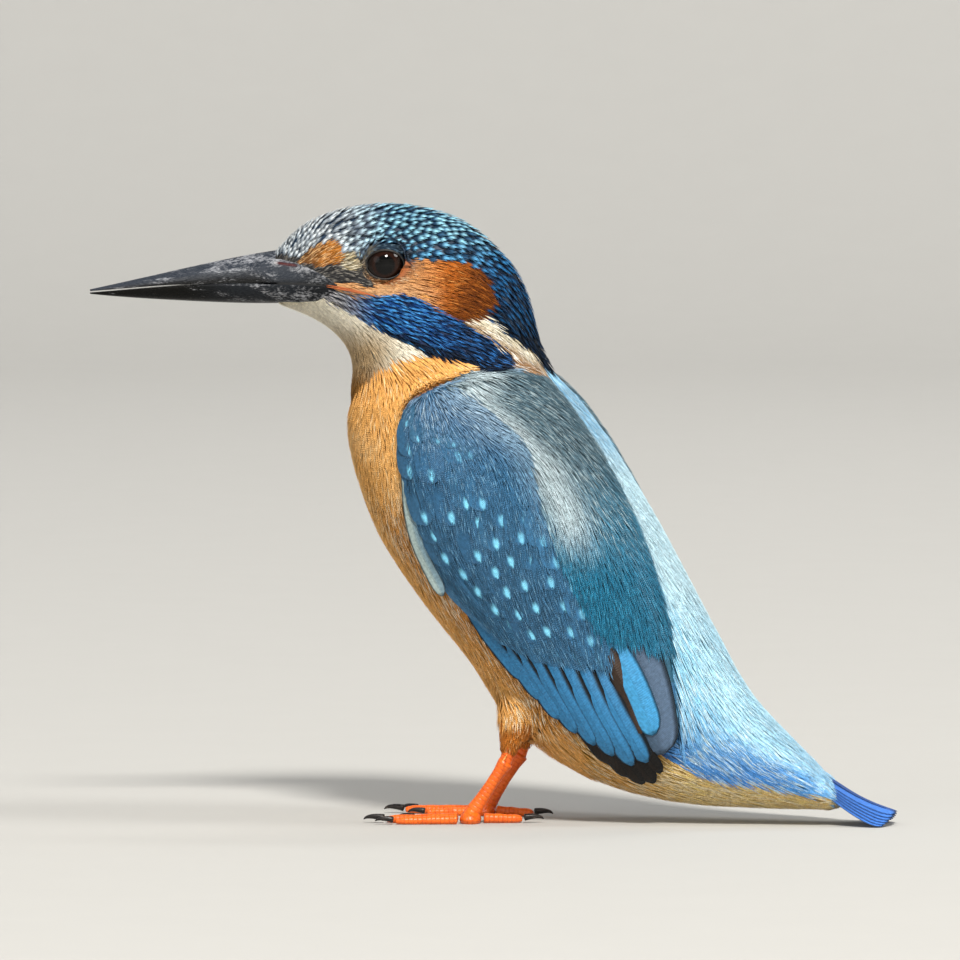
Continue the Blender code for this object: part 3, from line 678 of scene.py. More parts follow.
# the belly runs into the thigh without a fold
nearHip = np.exp(-((outerPoints[:, 1] - 4.5) / 5.0) ** 2 - ((outerPoints[:, 2] - 19) / 4.0) ** 2)
for _ in range(40):
    outerPoints = outerPoints + (neighbourMean(outerPoints) - outerPoints) * (0.6 * nearHip)[:, None]
skinOnWing = isOnWing(outerPoints)
skinParts = partOf(outerPoints, skinOnWing)
depths = np.array([coatDepth[name] for name in skinParts]) + skinSettings["swell"] * 0.6
# even out the depth so that it changes without steps
for _ in range(12):
    depths = 0.5 * depths + 0.5 * neighbourMean(depths)
skinPoints = outerPoints - vertexNormals(outerPoints) * depths[:, None]

# Eye: centre and size in mm, the opening of the lids, the thickness of their rim and how far it stands
# off the ball, the cornea's bulge, and how far the skin stands off the ball or sinks behind it.
eyeShape = {"x": 6.1, "y": -15.7, "z": 92.9, "ball": 4.0, "long": 3.08, "high": 2.36, "rim": 0.2,
            "rimOff": 0.10, "rimFlat": 0.8, "bulge": 0.16, "bulgeWide": 2.4, "skinOff": 0.10, "skinIn": 1.2}


def eyeReach(y, z, grow=0.0):
    # 1 on the edge of the lids' opening, more outside it
    return np.hypot((y - eyeShape["y"]) / (eyeShape["long"] + grow), (z - eyeShape["z"]) / (eyeShape["high"] + grow))


def seatEye(points):
    # the skin hugs the ball outside the lids, and sinks behind it within them
    y, z = points[:, 1], points[:, 2]
    reach = eyeReach(y, z)
    off = np.hypot(y - eyeShape["y"], z - eyeShape["z"])
    ball = eyeShape["x"] + np.sqrt(np.maximum(eyeShape["ball"] ** 2 - off ** 2, 0))
    x = np.abs(points[:, 0])
    far = smooth(off, 3.6, 4.6)
    hug = np.maximum(x, (ball + eyeShape["skinOff"]) * (1 - far) + x * far)
    wanted = np.where(reach < 0.95, ball - eyeShape["skinIn"], hug)
    points[:, 0] = np.where((reach < 1.9) & (x > 0.9), np.sign(points[:, 0]) * wanted, points[:, 0])


seatEye(skinPoints)
skinTree, outerTree = (BVHTree.FromPolygons(list(map(tuple, points)), list(map(tuple, quads)))
                       for points in (skinPoints, outerPoints))
faceNormals = unit(vertexNormals(skinPoints)[quads].mean(axis=1))
faceCentres = skinPoints[quads].mean(axis=1)
print("skin laid in under the coat")


def unwrapSkin(mesh):
    # the skin's own unwrap, which also places every feather on the feathers' maps
    holder = addObject("unwrapHolder", mesh)
    bpy.context.view_layer.objects.active = holder
    holder.select_set(True)
    mesh.uv_layers.new(name="OFBake")
    bpy.ops.object.mode_set(mode="EDIT")
    bpy.ops.mesh.select_all(action="SELECT")
    bpy.ops.uv.smart_project(angle_limit=math.radians(66), island_margin=0.004)
    bpy.ops.object.mode_set(mode="OBJECT")
    bpy.data.objects.remove(holder)
    corners = np.empty(len(mesh.loops) * 2, np.float32)
    mesh.uv_layers["OFBake"].data.foreach_get("uv", corners)
    return corners.reshape(-1, 4, 2).mean(axis=1)


movePoints(skinMesh, toWorld(skinPoints))
skinMesh.update()
faceMap = unwrapSkin(skinMesh)
print("skin unwrapped")
baseColours, tipColours = (np.array([plumage[name][key] for name in skinParts]) for key in ("base", "tip"))
setColours(skinMesh, "tint", mixed(baseColours, tipColours, np.where(skinParts == "covert", 0.7, 0.35)))
skin = showPiece("skin", skinMesh, downMaterial())
smoothFaces(skinMesh)
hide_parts(*fleshNodes)


def strandShape():
    # a slim closed barb, three-sided and drawn to a point; columns are along, across, height, width and
    # how far its shading leans to the side
    points = []
    for a, w in ((0.0, 0.7), (0.62, 1.0)):
        points += [(a, -1, 0.0, w, -0.3), (a, 0.0, 1.0, w, 0.0), (a, 1, 0.0, w, 0.3)]
    points.append((1.0, 0.0, 0.2, 0.5, 0.0))
    faces = [(0, 1, 2)]
    for side in range(3):
        after = (side + 1) % 3
        faces += [(side, side + 3, after + 3), (side, after + 3, after), (3 + side, 6, 3 + after)]
    return np.array(points, float), np.array(faces, int)


def tuftShape(barbs):
    # one small loose feather: fine barbs that fan from its root to a rounded tip
    single, singleFaces = strandShape()
    points, faces = [], []
    for index in range(barbs):
        s = 2 * index / (barbs - 1) - 1
        reach = 1 - 0.24 * s * s - 0.05 * (index % 2)
        for a, b, h, w, lean in single:
            across = s * (0.25 + 0.75 * a ** 0.8) + b * w * 1.25 / barbs
            points.append((a * reach, across, h + 0.5 * (index % 2) - s * s, 1.0, lean * 0.6))
        faces.append(singleFaces + index * len(single))
    return np.array(points, float), np.concatenate(faces)


def vaneShape(rows, columns, profile):
    # a closed, lens-thin vane: an upper and a lower sheet that share their rim
    points, upper, lower = [], *np.zeros((2, rows, columns), int)
    for i, a in enumerate(np.linspace(0, 1, rows) ** 0.85):
        for j, b in enumerate(np.linspace(-1, 1, columns)):
            rim = i in (0, rows - 1) or j in (0, columns - 1)
            upper[i, j] = lower[i, j] = len(points)
            points.append((a, b, 0.0 if rim else 1.0 - b * b, profile(a), 0.06 * b))
            if not rim:
                lower[i, j] = len(points)
                points.append((a, b, -0.45 * (1.0 - b * b), profile(a), 0.0))
    return np.array(points, float), np.array(sheetFaces(upper, lower), int)


def roundTip(a):
    # width along a covert: quickly full, then rounded at the tip
    return min(1.0, 0.45 + 1.6 * a) * max(0.0, 1 - max(0.0, (a - 0.62) / 0.385) ** 2.4) ** 0.5 + 0.02


def bladeTip(a):
    # width along a flight feather: even, with a blunt rounded tip
    return min(1.0, 0.6 + 2.0 * a) * max(0.0, 1 - max(0.0, (a - 0.84) / 0.163) ** 2.2) ** 0.5 + 0.015


strand, tuft, wisp = strandShape(), tuftShape(9), tuftShape(5)
broad, blade = vaneShape(10, 7, roundTip), vaneShape(24, 9, bladeTip)
shapes = {"strand": strand, "tuft": tuft, "wisp": wisp}


def surfaceNear(points):
    # nearest places on the skin, with even normals and the faces they are on
    found = [skinTree.find_nearest(Vector(point)) for point in points]
    faces = np.array([face for _, _, face, _ in found], int)
    return np.array([place for place, _, _, _ in found], float).reshape(-1, 3), faceNormals[faces], faces


floorGap = 0.12   # mm that the lowest feathers stay above the floor
rootSink = 0.12   # mm that a barb's root lies under the skin
coatCount = []


def layFeathers(shape, root, normal, way, length, width, thick, lift, sink=rootSink, droop=0.0, bend=0.0,
                twist=0.0):
    # lays one feather of the given shape at each root, bent along the skin towards its tip
    template, faces = shape
    number = len(root)
    length, width, thick, lift, bend, twist = (np.broadcast_to(value, number).astype(float)[:, None, None]
                                               for value in (length, width, thick, lift, bend, twist))
    ahead = root + way * length[:, 0]
    tip, tipNormal, _ = surfaceNear(ahead)
    far = np.abs(np.linalg.norm(tip - root, axis=1) - length[:, 0, 0]) > 0.5 * length[:, 0, 0]
    tip[far], tipNormal[far] = ahead[far], normal[far]
    endWay = laidFlat(unit(tip - root), tipNormal)
    span = np.linalg.norm(tip - root, axis=1)[:, None, None]
    a, h, lean = (template[:, column][None, :, None] for column in (0, 2, 4))
    b = (template[:, 1] * template[:, 3])[None, :, None]
    path = ((2 * a ** 3 - 3 * a ** 2 + 1) * root[:, None] + (a ** 3 - 2 * a ** 2 + a) * (way[:, None] * span)
            + (-2 * a ** 3 + 3 * a ** 2) * tip[:, None] + (a ** 3 - a ** 2) * (endWay[:, None] * span))
    along = a[..., 0] * np.ones((number, 1))
    up, ahead = (unit(mixed(first[:, None], last[:, None], along)) for first, last in
                 ((normal, tipNormal), (way, endWay)))
    side = np.cross(ahead, up)
    rise = (lift + sink) * a ** 0.8 - sink
    wide = width * 0.5
    swing = bend * length * np.sin(math.pi * a * 0.8)
    camber = -droop * b ** 2 * wide
    points = path + side * (b * wide + swing) + up * (rise + h * thick + camber + twist * b * wide)
    return points, faces[:, ::-1], unit(up * np.where(h < -0.01, -1.0, 1.0) + side * lean)


def coatPiece(name, points, faces, look, patch, kind, shading=None):
    # joins laid feathers into one piece; look holds their tint, light, barb and mark values
    number, each, _ = points.shape
    straight = points.reshape(-1, 3)
    straight[:, 2] = np.maximum(straight[:, 2], floorGap)
    allFaces = (faces[None, :, :] + (np.arange(number) * each)[:, None, None]).reshape(-1, 3)
    mesh = meshFromArrays(name, toWorld(straight), allFaces)
    for key, values in look.items():
        (setColours if key in ("tint", "light") else setVectors)(mesh, key, values.reshape(-1, 3))
    setMap(mesh, patch.reshape(-1, 2))
    if shading is not None:
        setNormals(mesh, straight, shading.reshape(-1, 3))
    coatCount.append(len(allFaces))
    return showPiece(name, mesh, featherMaterials[kind])


patchHalf = 0.0015   # of the map's width, for one tuft
cellShare = 0.46     # of a large vane's cell that it fills each way from the middle


def rootPatch(picks, barb):
    # each tuft's patch lies at its root's place on the skin's own unwrap
    return faceMap[picks][:, None, :] + barb[:, :, 1:3] * patchHalf


def cellPatch(number, barb):
    # large vanes each get a cell of their own on the map, side by side
    across = math.ceil(math.sqrt(number))
    cell = np.stack([np.arange(number) % across, np.arange(number) // across], axis=1) / across
    return (cell[:, None, :] + (barb[:, :, 1:3] * cellShare + 0.5) / across)


def barbPlaces(shape, length, width):
    # x: distance along the slanting barbs in mm; y and z: place on the feather's own patch
    a, b = shape[0][:, 0][None, :], shape[0][:, 1][None, :]
    run = a * np.asarray(length)[:, None] - np.abs(b) * np.asarray(width)[:, None] * 0.5 * featherLook["slant"]
    return np.stack([run, b + 0 * run, 2 * a - 1 + 0 * run], axis=-1)


areas = 0.5 * np.linalg.norm(np.cross(skinPoints[quads[:, 2]] - skinPoints[quads[:, 0]],
                                      skinPoints[quads[:, 3]] - skinPoints[quads[:, 1]]), axis=1)
faceFeathered = ("crown", "orbit", "lores", "spot", "mask", "ear", "malar", "throat")


def sizeAt(part, places):
    # feathers shrink towards the bill and round the eye
    if part not in faceFeathered or part == "orbit":
        return np.ones(len(places))
    off = np.hypot(places[:, 1] - eyeShape["y"], places[:, 2] - eyeShape["z"])
    return (smooth(places[:, 1], -36, -19) * 0.45 + 0.55) * (smooth(off, 2.8, 6.5) * 0.45 + 0.55)


triesEach = 7   # throws for each root's share of the skin


def sow(part, spacing, maskFaces):
    # blue-noise roots on the chosen faces of the skin, closer together where the feathers are small
    chosen = np.flatnonzero(maskFaces)
    small = sizeAt(part, faceCentres[chosen])
    weights = areas[chosen] / areas[chosen].sum() / small ** 2
    number = int(triesEach * (areas[chosen] / small ** 2).sum() / spacing ** 2)
    picks = rng.choice(chosen, number, p=weights / weights.sum())
    u, v = rng.random((2, number, 1))
    corners = skinPoints[quads[picks]]
    places = (corners[:, 0] * (1 - u) + corners[:, 1] * u) * (1 - v) + (corners[:, 3] * (1 - u) + corners[:, 2] * u) * v
    cells = np.floor(places / spacing).astype(int).tolist()
    limits = ((spacing * sizeAt(part, places)) ** 2).tolist()
    around = [(i, j, k) for i in (-1, 0, 1) for j in (-1, 0, 1) for k in (-1, 0, 1)]
    taken, kept = {}, []
    for index, ((cx, cy, cz), (px, py, pz)) in enumerate(zip(cells, places.tolist())):
        limit = limits[index]
        near = (spot for i, j, k in around for spot in taken.get((cx + i, cy + j, cz + k), ()))
        if all((px - qx) ** 2 + (py - qy) ** 2 + (pz - qz) ** 2 >= limit for qx, qy, qz in near):
            taken.setdefault((cx, cy, cz), []).append((px, py, pz))
            kept.append(index)
    return places[kept], picks[kept]


def gapTo(tree, points, limit=6.0):
    found = [tree.find_nearest(Vector(point), limit) for point in points]
    return np.array([99.0 if place is None else gap for place, _, _, gap in found])


faceOnWing = skinOnWing[quads].mean(axis=1) > 0.5
faceLie = lieAt(faceCentres, faceNormals, bodyLie)
reachOn = 1.5 * sizeAt("crown", faceCentres) * smooth(faceCentres[:, 2], 74, 79)   # a feather's colour shows at its tip
faceParts = partOf(faceCentres + faceLie * reachOn[:, None], faceOnWing)
for grow, name in ((1.1, "orbit"), (0.1, "bare")):
    near = eyeReach(faceCentres[:, 1], faceCentres[:, 2], grow) < 1
    faceParts[(np.abs(faceCentres[:, 0]) > 4) & near] = name
faceParts[(faceNormals[:, 1] > 0.8) & (faceCentres[:, 1] > 60)] = "bare"
lowFaces = np.flatnonzero((faceCentres[:, 2] < 24) & (faceCentres[:, 1] < 18))
toThigh, toTorso = (gapTo(treeOf(*names), faceCentres[lowFaces]) for names in
                    (("thigh_left", "thigh_right"), ("trunk", "rump")))
faceParts[lowFaces[toThigh < toTorso]] = "thigh"
faceParts[(faceParts == "thigh") & (faceNormals[:, 2] > 0.3)] = "breast"
# warm feathers stop just short of the folded wing, so that they tuck under its edge
warm = np.flatnonzero(np.isin(faceParts, ["breast", "vent"]))
toWing, aboveBend = gapTo(wingTree, faceCentres[warm], 3.0), faceCentres[warm][:, 2] > 57
faceParts[warm[(toWing < 1.3) & ~aboveBend]] = "bare"
faceParts[warm[(toWing < 0.9) & aboveBend]] = "covert"

featherMaterials = {key: featherMaterial(kind) for key, kind in featherKinds.items()}

# How each part of the coat is feathered, in mm: gap between roots, length, width, thickness; then the
# shape and look; then how much neighbouring feathers and their barbs differ in brightness, the share of
# barbs that are pale, and how evenly high they lie.
coatKeys = ("gap", "long", "wide", "thick", "shape", "look", "vary", "barbVary", "streaked", "even")
coatRows = {
    "crown": (0.94, 2.6, 1.40, 0.05, "tuft", "crown", 0.40, 0.45, 0.0, 0.75),
    "orbit": (0.17, 1.2, 0.12, 0.05, "strand", "soft", 0.4, 0.0, 0.25, 0.7),
    "lores": (0.26, 2.3, 0.17, 0.05, "strand", "soft", 0.6, 0.0, 0.35, 0.6),
    "spot": (0.26, 1.8, 0.16, 0.05, "strand", "soft", 0.8, 0.0, 0.3, 0.6),
    "mask": (0.28, 1.6, 0.17, 0.06, "strand", "soft", 0.7, 0.0, 0.35, 0.5),
    "ear": (0.25, 3.2, 0.16, 0.04, "strand", "soft", 0.40, 0.0, 0.12, 0.85),
    "malar": (0.50, 2.8, 0.50, 0.05, "wisp", "crown", 0.50, 0.45, 0.25, 0.8),
    "throat": (0.27, 3.6, 0.20, 0.03, "strand", "soft", 0.05, 0.0, 0.10, 0.93),
    "collar": (0.26, 4.0, 0.18, 0.03, "strand", "soft", 0.06, 0.0, 0.25, 0.93),
    "breast": (0.30, 5.2, 0.23, 0.04, "strand", "soft", 0.08, 0.0, 0.10, 0.93),
    "thigh": (0.30, 3.0, 0.24, 0.04, "strand", "soft", 0.15, 0.0, 0.10, 0.85),
    "back": (0.29, 7.0, 0.22, 0.04, "strand", "silky", 0.13, 0.0, 0.32, 0.93),
    "vent": (0.32, 5.2, 0.23, 0.04, "strand", "soft", 0.32, 0.0, 0.4, 0.9),
    "scapular": (0.25, 4.4, 0.17, 0.05, "strand", "silky", 0.45, 0.0, 0.10, 0.9),
    "covert": (0.25, 2.8, 0.16, 0.04, "strand", "silky", 0.36, 0.0, 0.14, 0.88),
}
coats = {part: dict(zip(coatKeys, row)) for part, row in coatRows.items()}

# Where the painted silver sheen band runs down the shoulders: height, then distance back, in mm. Then the lower edge of
# the moustache stripe (y, z), and half the width of the back's pale middle by height.
sheenBandLine = [(35, 24), (45, 20), (55, 16), (62, 12), (67, 6), (72, -1)]
malarEdge = [(-26, 86), (-16, 82.8), (-7, 79.9), (2, 76.8)]
paleBack = [(5, 4.5), (20, 7.0), (34, 6.5), (50, 8.0), (80, 3.2)]


def coatColours(part, roots):
    # base, tip and light colours of every feather, by where it grows
    x, y, z = np.abs(roots[:, 0]), roots[:, 1], roots[:, 2]
    shades = {key: np.repeat(plumage[part][key][None, :], len(roots), axis=0) for key in ("base", "tip", "light")}
    streaked = np.full(len(roots), coats[part]["streaked"])
    vary = coats[part]["vary"]

    def blend(share, **codes):
        for key, code in codes.items():
            shades[key] = mixed(shades[key], hexToLinear(code), share)

    if part == "crown":
        # greyer over the bill, brightest above and behind the eye, deep blue down the nape
        fore = 1 - smooth(y, -27, -15)
        nape = smooth(99.5 - z + 0.45 * (y + 4), 0, 11)
        low = smooth(86 - z, -2, 6)
        blend(0.95 * fore, light="#f0f5f7")
        blend(0.7 * smooth(98 - z, 0, 3) * smooth(y, -20, -14), light="#5cb8ee")
        blend(0.85 * fore, tip="#bac4cc")
        blend(0.8 * fore, base="#4b535b")
        blend(nape, light="#1f7fc4", tip="#07294a", base="#02070f")
        blend(low, light="#0c3058", tip="#020b16")
    elif part == "orbit":
        # dusky over the eye, buff under and behind it, cream in front
        below = smooth(eyeShape["z"] + 0.3 - z, -0.6, 1.4)
        behind = smooth(y - eyeShape["y"], 1.0, 3.0) * (1 - smooth(z, 92.8, 94.2))
        front = smooth(eyeShape["y"] - y, 1.6, 3.0) * (1 - smooth(eyeShape["z"] - 1.2 - z, 0, 1.2))
        blend(0.85 * below, tip="#c98d5a")
        blend(0.7 * behind, tip="#9a6a42")
        blend(0.8 * front, tip="#7a7262")
        blend(below, base="#7a4a28", light="#ecd0a8")
        blend(front, base="#2c2822")
    elif part == "lores":
        blend(0.8 * smooth(-26.5 - y, 0, 2.5), tip="#5b442f")
    elif part == "ear":
        back = smooth(y, -15, -7)
        rear = smooth(y - 0.4 * (z - 86), -11, -4)
        shades["tip"] = mixed(hexToLinear("#e6ad74"), shades["tip"], back)
        shades["base"] = mixed(hexToLinear("#b87440"), shades["base"], back)
        blend(rear, tip="#6a3303", base="#3a1a02", light="#ac621c")
        pale = smooth(90.5 - z, 0, 2) * (1 - back)
        blend(0.7 * pale, tip="#e8b98c")
    elif part == "malar":
        fore = 1 - smooth(y, -25, -18)
        under = smooth(lineAt(malarEdge, y) - z, -0.6, 0.8)
        blend(0.8 * fore, tip="#a8a4a2")
        blend(0.9 * smooth(y, -11, -3), tip="#03152a")
        blend(0.85 * fore, light="#dcd4ca")
        blend(0.8 * smooth(y, -13, -4), light="#1f66b8")
        blend(under, tip="#081a30", base="#03070d")
        streaked *= 1 - 0.9 * under
    elif part == "throat":
        # painted shade: the throat's lower front is browned and darkened as the shade under the bill and head, darkest
        # lowest
        frontal = smooth(-13.5 - y, 0, 6)
        middle, lowShade = frontal * smooth(86 - z, 0, 6), frontal * smooth(79.5 - z, 0, 5)
        blend(0.8 * middle, tip="#a88040")
        blend(0.85 * middle, base="#7c5a24")
        blend(0.7 * middle, light="#c29a5c")
        blend(lowShade, tip="#8a5c20", base="#5a3810", light="#a8783a")
    elif part == "collar":
        brown = smooth(82 - z - 0.5 * (y - 4), 0, 3)
        blend(0.85 * brown, tip="#96622c")
        blend(0.75 * brown, base="#5c3614")
    elif part == "breast":
        soft = smooth(mottle(roots, 9.0), 0.1, 1.0)
        shadedFlank = smooth(62 - z, 0, 12) * smooth(x, 7, 12)
        # painted highlights: soft paler patches on the upper breast, where it faces up to the light
        blend(0.7 * soft * smooth(z, 48, 56), tip="#ffd294")
        blend(0.6 * soft * smooth(z, 48, 56), base="#e8a65a")
        # painted shade: the flank under the wing gets a dark base and browner tips, with pale streaks of painted
        # highlight on its loose barbs
        blend(0.85 * shadedFlank, base="#381804")
        blend(0.6 * shadedFlank, tip="#b87330")
        blend(shadedFlank, light="#fff2d8")
        streaked += 0.26 * shadedFlank
        vary = vary + 0.3 * shadedFlank
    elif part == "back":
        rump = smooth(30 - z, 0, 22)
        deep = smooth(x - lineAt(paleBack, z), 0, 3.0)
        # partly painted light: the back's own pale middle stripe is painted paler still, most from mid-height up, as if
        # lit from above
        pale = (0.4 + 0.5 * smooth(z, 34, 46)) * (1 - deep)
        blend(pale, tip="#cdf0fd")
        blend(0.85 * pale, base="#8fd2f5")
        blend(0.7 * smooth(z, 60, 70), tip="#5aaadc")
        blend(0.85 * rump * deep, tip="#1c7ce0")
        blend(0.4 * rump * smooth(y, 36, 58), tip="#3f9fe8")
        blend(rump * deep, base="#0f3f8a")
        blend(0.6 * rump * (1 - deep), base="#3f90dc")
    elif part == "vent":
        # partly painted light: the vent's own buff is painted brighter and warmer towards the tail, where the
        # downward-facing underside lies in shade
        blend(smooth(y, 20, 34), tip="#ffdc90", base="#e8a648")
    elif part == "scapular":
        # dusky at the shoulder, a painted silver sheen band across the middle, deep teal below
        upper = smooth(z, 50, 66)
        sheenBand = np.exp(-((y - lineAt(sheenBandLine, z)) / 3.0) ** 2)
        blend(upper, light="#9fb4ba")
        blend(0.8 * upper, tip="#4c6068")
        blend(0.85 * sheenBand * smooth(z, 44, 54), tip="#cfdfe5", base="#7f98a2")
        blend(smooth(55 - z, 0, 12), tip="#1a7296", base="#041520", light="#3a98bd")
        streaked += 0.25 * sheenBand * smooth(z, 44, 54) + 0.12 * upper
    elif part == "covert":
        upper = smooth(z, 60, 71)
        blend(smooth(58 - z, 0, 8), tip="#3d7096", base="#2a5878")
        blend(0.6 * upper, tip="#7c9fc2")
        blend(upper, base="#13293a", light="#a9c4d8")
        # painted silver sheen where the shoulder's feathers meet the painted sheen band behind them
        near = smooth(y - lineAt(sheenBandLine, z), -7, -1) * smooth(z, 44, 54)
        blend(0.45 * near, tip="#9bb4c3")
        blend(0.35 * near, base="#4c6c82")
        streaked += 0.12 * near
    value = rng.uniform(1 - vary, 1 + 0.6 * vary, len(roots))[:, None]
    return shades["base"] * value, shades["tip"] * value, shades["light"], streaked


def napeShare(y, z):
    # 0 over the crown, 1 low on the nape
    return smooth(94 - z + 0.35 * (y + 4), -1, 9)


def spotStrength(part, roots):
    # how bright the pale mark near each feather's tip is: strongest over the eye, fading down the nape
    y, z = roots[:, 1], roots[:, 2]
    chance = rng.random(len(roots))
    if part == "malar":
        under, rear = smooth(lineAt(malarEdge, y) - z, -0.8, 0.8), smooth(y, -11, -3)
        return np.where(chance < 0.6, 0.3 + 0.6 * chance, 0.05) * (1 - 0.9 * under) * (1 - 0.65 * rear)
    return np.where(chance < 0.86, 0.65 + 0.45 * chance, 0.1) * (1 - 0.6 * napeShare(y, z))


# How the feathers of a part vary and where they stop short, in mm or as a share of their own size.
ankle = {"out": 8.2, "back": 5.4, "up": 8.0, "bareTo": 10.4}
neatParts = ("crown", "back", "scapular", "covert", "throat")
strewing = {
    "long": (0.82, 1.15), "wide": (0.85, 1.15), "astray": 0.09, "neat": 0.05,
    "lidGap": 0.15, "lidSteps": (0.9, 0.7, 0.5, 0.3), "lidCut": 0.9,
    "browFrom": -15, "browTo": -12, "browLonger": 1.2,
    "napeLonger": 0.30, "napeNarrower": 0.40,
    "tailRoot": 61.5, "tailRagged": 3.5, "ventEnd": 60.5, "stub": 0.7,
    "legBack": 8.5, "legUp": 13.5, "legWide": 2.6, "legHigh": 3.5, "legShorter": 0.75,
    "wingAhead": 2.5, "wingSlack": 0.4, "underWing": 1.3, "wingGap": 0.6, "shoulderMore": 0.9, "wingStub": 0.8,
    "bend": 0.02, "barbSpread": 0.6, "paleFrom": 0.4, "tipFrom": 0.1, "tipTo": 0.75,
}


def strew(part, roots, picks, style):
    # lays one part's feathers along the lie of the coat
    shape, s = shapes[style["shape"]], strewing
    number = len(roots)
    y, z = roots[:, 1], roots[:, 2]
    normals = faceNormals[picks]
    way = lieAt(roots, normals, wingLie if part in ("scapular", "covert") else bodyLie)
    astray = rng.normal(0, s["neat"] if part in neatParts else s["astray"], number)
    way = unit(way + np.cross(way, normals) * astray[:, None])
    length = style["long"] * rng.uniform(*s["long"], number)
    width = style["wide"] * rng.uniform(*s["wide"], number)
    if part in faceFeathered:
        small = sizeAt(part, roots)
        length *= small
        width *= small
        # those that point at the eye stop before its lids
        for share in s["lidSteps"]:
            ahead = roots + way * (length * share)[:, None]
            clear = eyeReach(ahead[:, 1], ahead[:, 2], s["lidGap"]) >= 1
            length = np.where(clear, length, length * share * s["lidCut"])
    if part == "orbit":
        length *= 1 + s["browLonger"] * smooth(y, s["browFrom"], s["browTo"])
    if part == "crown":
        # long and narrow down the nape
        nape = napeShare(y, z)
        length *= 1 + s["napeLonger"] * nape
        width *= 1 - s["napeNarrower"] * nape
    if part in ("back", "vent"):
        # shorter over the root of the tail
        end = s["tailRoot"] + rng.uniform(0, s["tailRagged"], number) if part == "back" else s["ventEnd"]
        length = np.minimum(length, np.maximum(end - y, s["stub"]))
    if part == "thigh":
        # down the leg to the ankle
        target = np.stack([np.sign(roots[:, 0]) * ankle["out"], 0 * y + ankle["back"], 0 * y + ankle["up"]], axis=1)
        way = laidFlat(unit(target - roots), normals)
        length = np.minimum(length, np.maximum(z - ankle["bareTo"], 0.6) / np.maximum(-way[:, 2], 0.4))
    if part in ("breast", "vent"):
        # short where the wing rides over them
        ahead = np.minimum(gapTo(wingTree, roots), gapTo(wingTree, roots + way * s["wingAhead"]) + s["wingSlack"])
        room = ahead * s["underWing"] - s["wingGap"] + s["shoulderMore"] * smooth(z, 58, 64)
        length = np.minimum(length, np.maximum(room, s["wingStub"]))
    if part in ("breast", "vent", "thigh"):
        # none stick out behind the leg
        near = np.exp(-((y - s["legBack"]) / s["legWide"]) ** 2 - ((z - s["legUp"]) / s["legHigh"]) ** 2)
        length *= 1 - s["legShorter"] * near
    lift = coatDepth[part] * rng.uniform(style["even"], 1.0, number)
    base, tip, light, streaked = coatColours(part, roots)
    points, faces, shading = layFeathers(shape, roots, normals, way, length, width, style["thick"], lift,
                                         sink=style.get("sink", rootSink), bend=rng.normal(0, s["bend"], number))
    a = shape[0][:, 0][None, :] * np.ones((number, 1))
    # every barb of a feather has its own brightness, and some are pale
    barbs = len(strand[0])
    each = (number, a.shape[1] // barbs)
    pale = np.repeat((rng.random(each) < streaked[:, None]) * rng.uniform(s["paleFrom"], 1.0, each), barbs, axis=1)
    spread = np.clip(rng.normal(0, s["barbSpread"], each), -1, 1)
    own = np.repeat(1 + style["barbVary"] * spread, barbs, axis=1)[..., None]
    towardsTip = smooth(a, s["tipFrom"], s["tipTo"])
    look = {
        "tint": mixed(base[:, None] * own, mixed(tip[:, None] * own, light[:, None], pale), towardsTip),
        "light": np.repeat(light[:, None], a.shape[1], axis=1),
        "barb": barbPlaces(shape, length, width),
        "mark": np.zeros(a.shape + (3,)),
    }
    if style["look"] == "crown":
        look["mark"][:, :, 0] = spotStrength(part, roots)[:, None]
    return points, faces, look, shading


# Strands stop short where long vanes take over on the lower wing.
vanedBelow = [(-12, 60.5), (-4, 60.0), (3, 57), (9, 54), (13, 50), (30, 46)]
scapularEnd = [(20, 36), (24.5, 33.6), (28, 33.2), (31, 31.6), (33.5, 31), (36, 33), (40, 34)]
veilEnd = [(-9, 52), (-5, 42), (0.5, 36.5), (4.2, 33.0), (9.5, 29.6), (14, 28.4), (18.5, 27.6), (26, 26.4)]
y, z = faceCentres[:, 1], faceCentres[:, 2]
vaned = (faceParts == "covert") & (z < lineAt(vanedBelow, y))
faceVeiled = vaned & (z > lineAt(veilEnd, y))
faceParts[vaned | ((faceParts == "scapular") & (z < lineAt(scapularEnd, y)))] = "bare"

for part, style in coats.items():
    roots, picks = sow(part, style["gap"], faceParts == part)
    points, faces, look, shading = strew(part, roots, picks, style)
    for sideName, keep in (("Left", roots[:, 0] >= 0), ("Right", roots[:, 0] < 0)):
        kept = {key: values[keep] for key, values in look.items()}
        coatPiece(part + "Feathers" + sideName, points[keep], faces, kept, rootPatch(picks[keep], kept["barb"]),
                  style["look"], shading[keep])
    print("feathered", part, len(roots), "roots", coatCount[-2:])


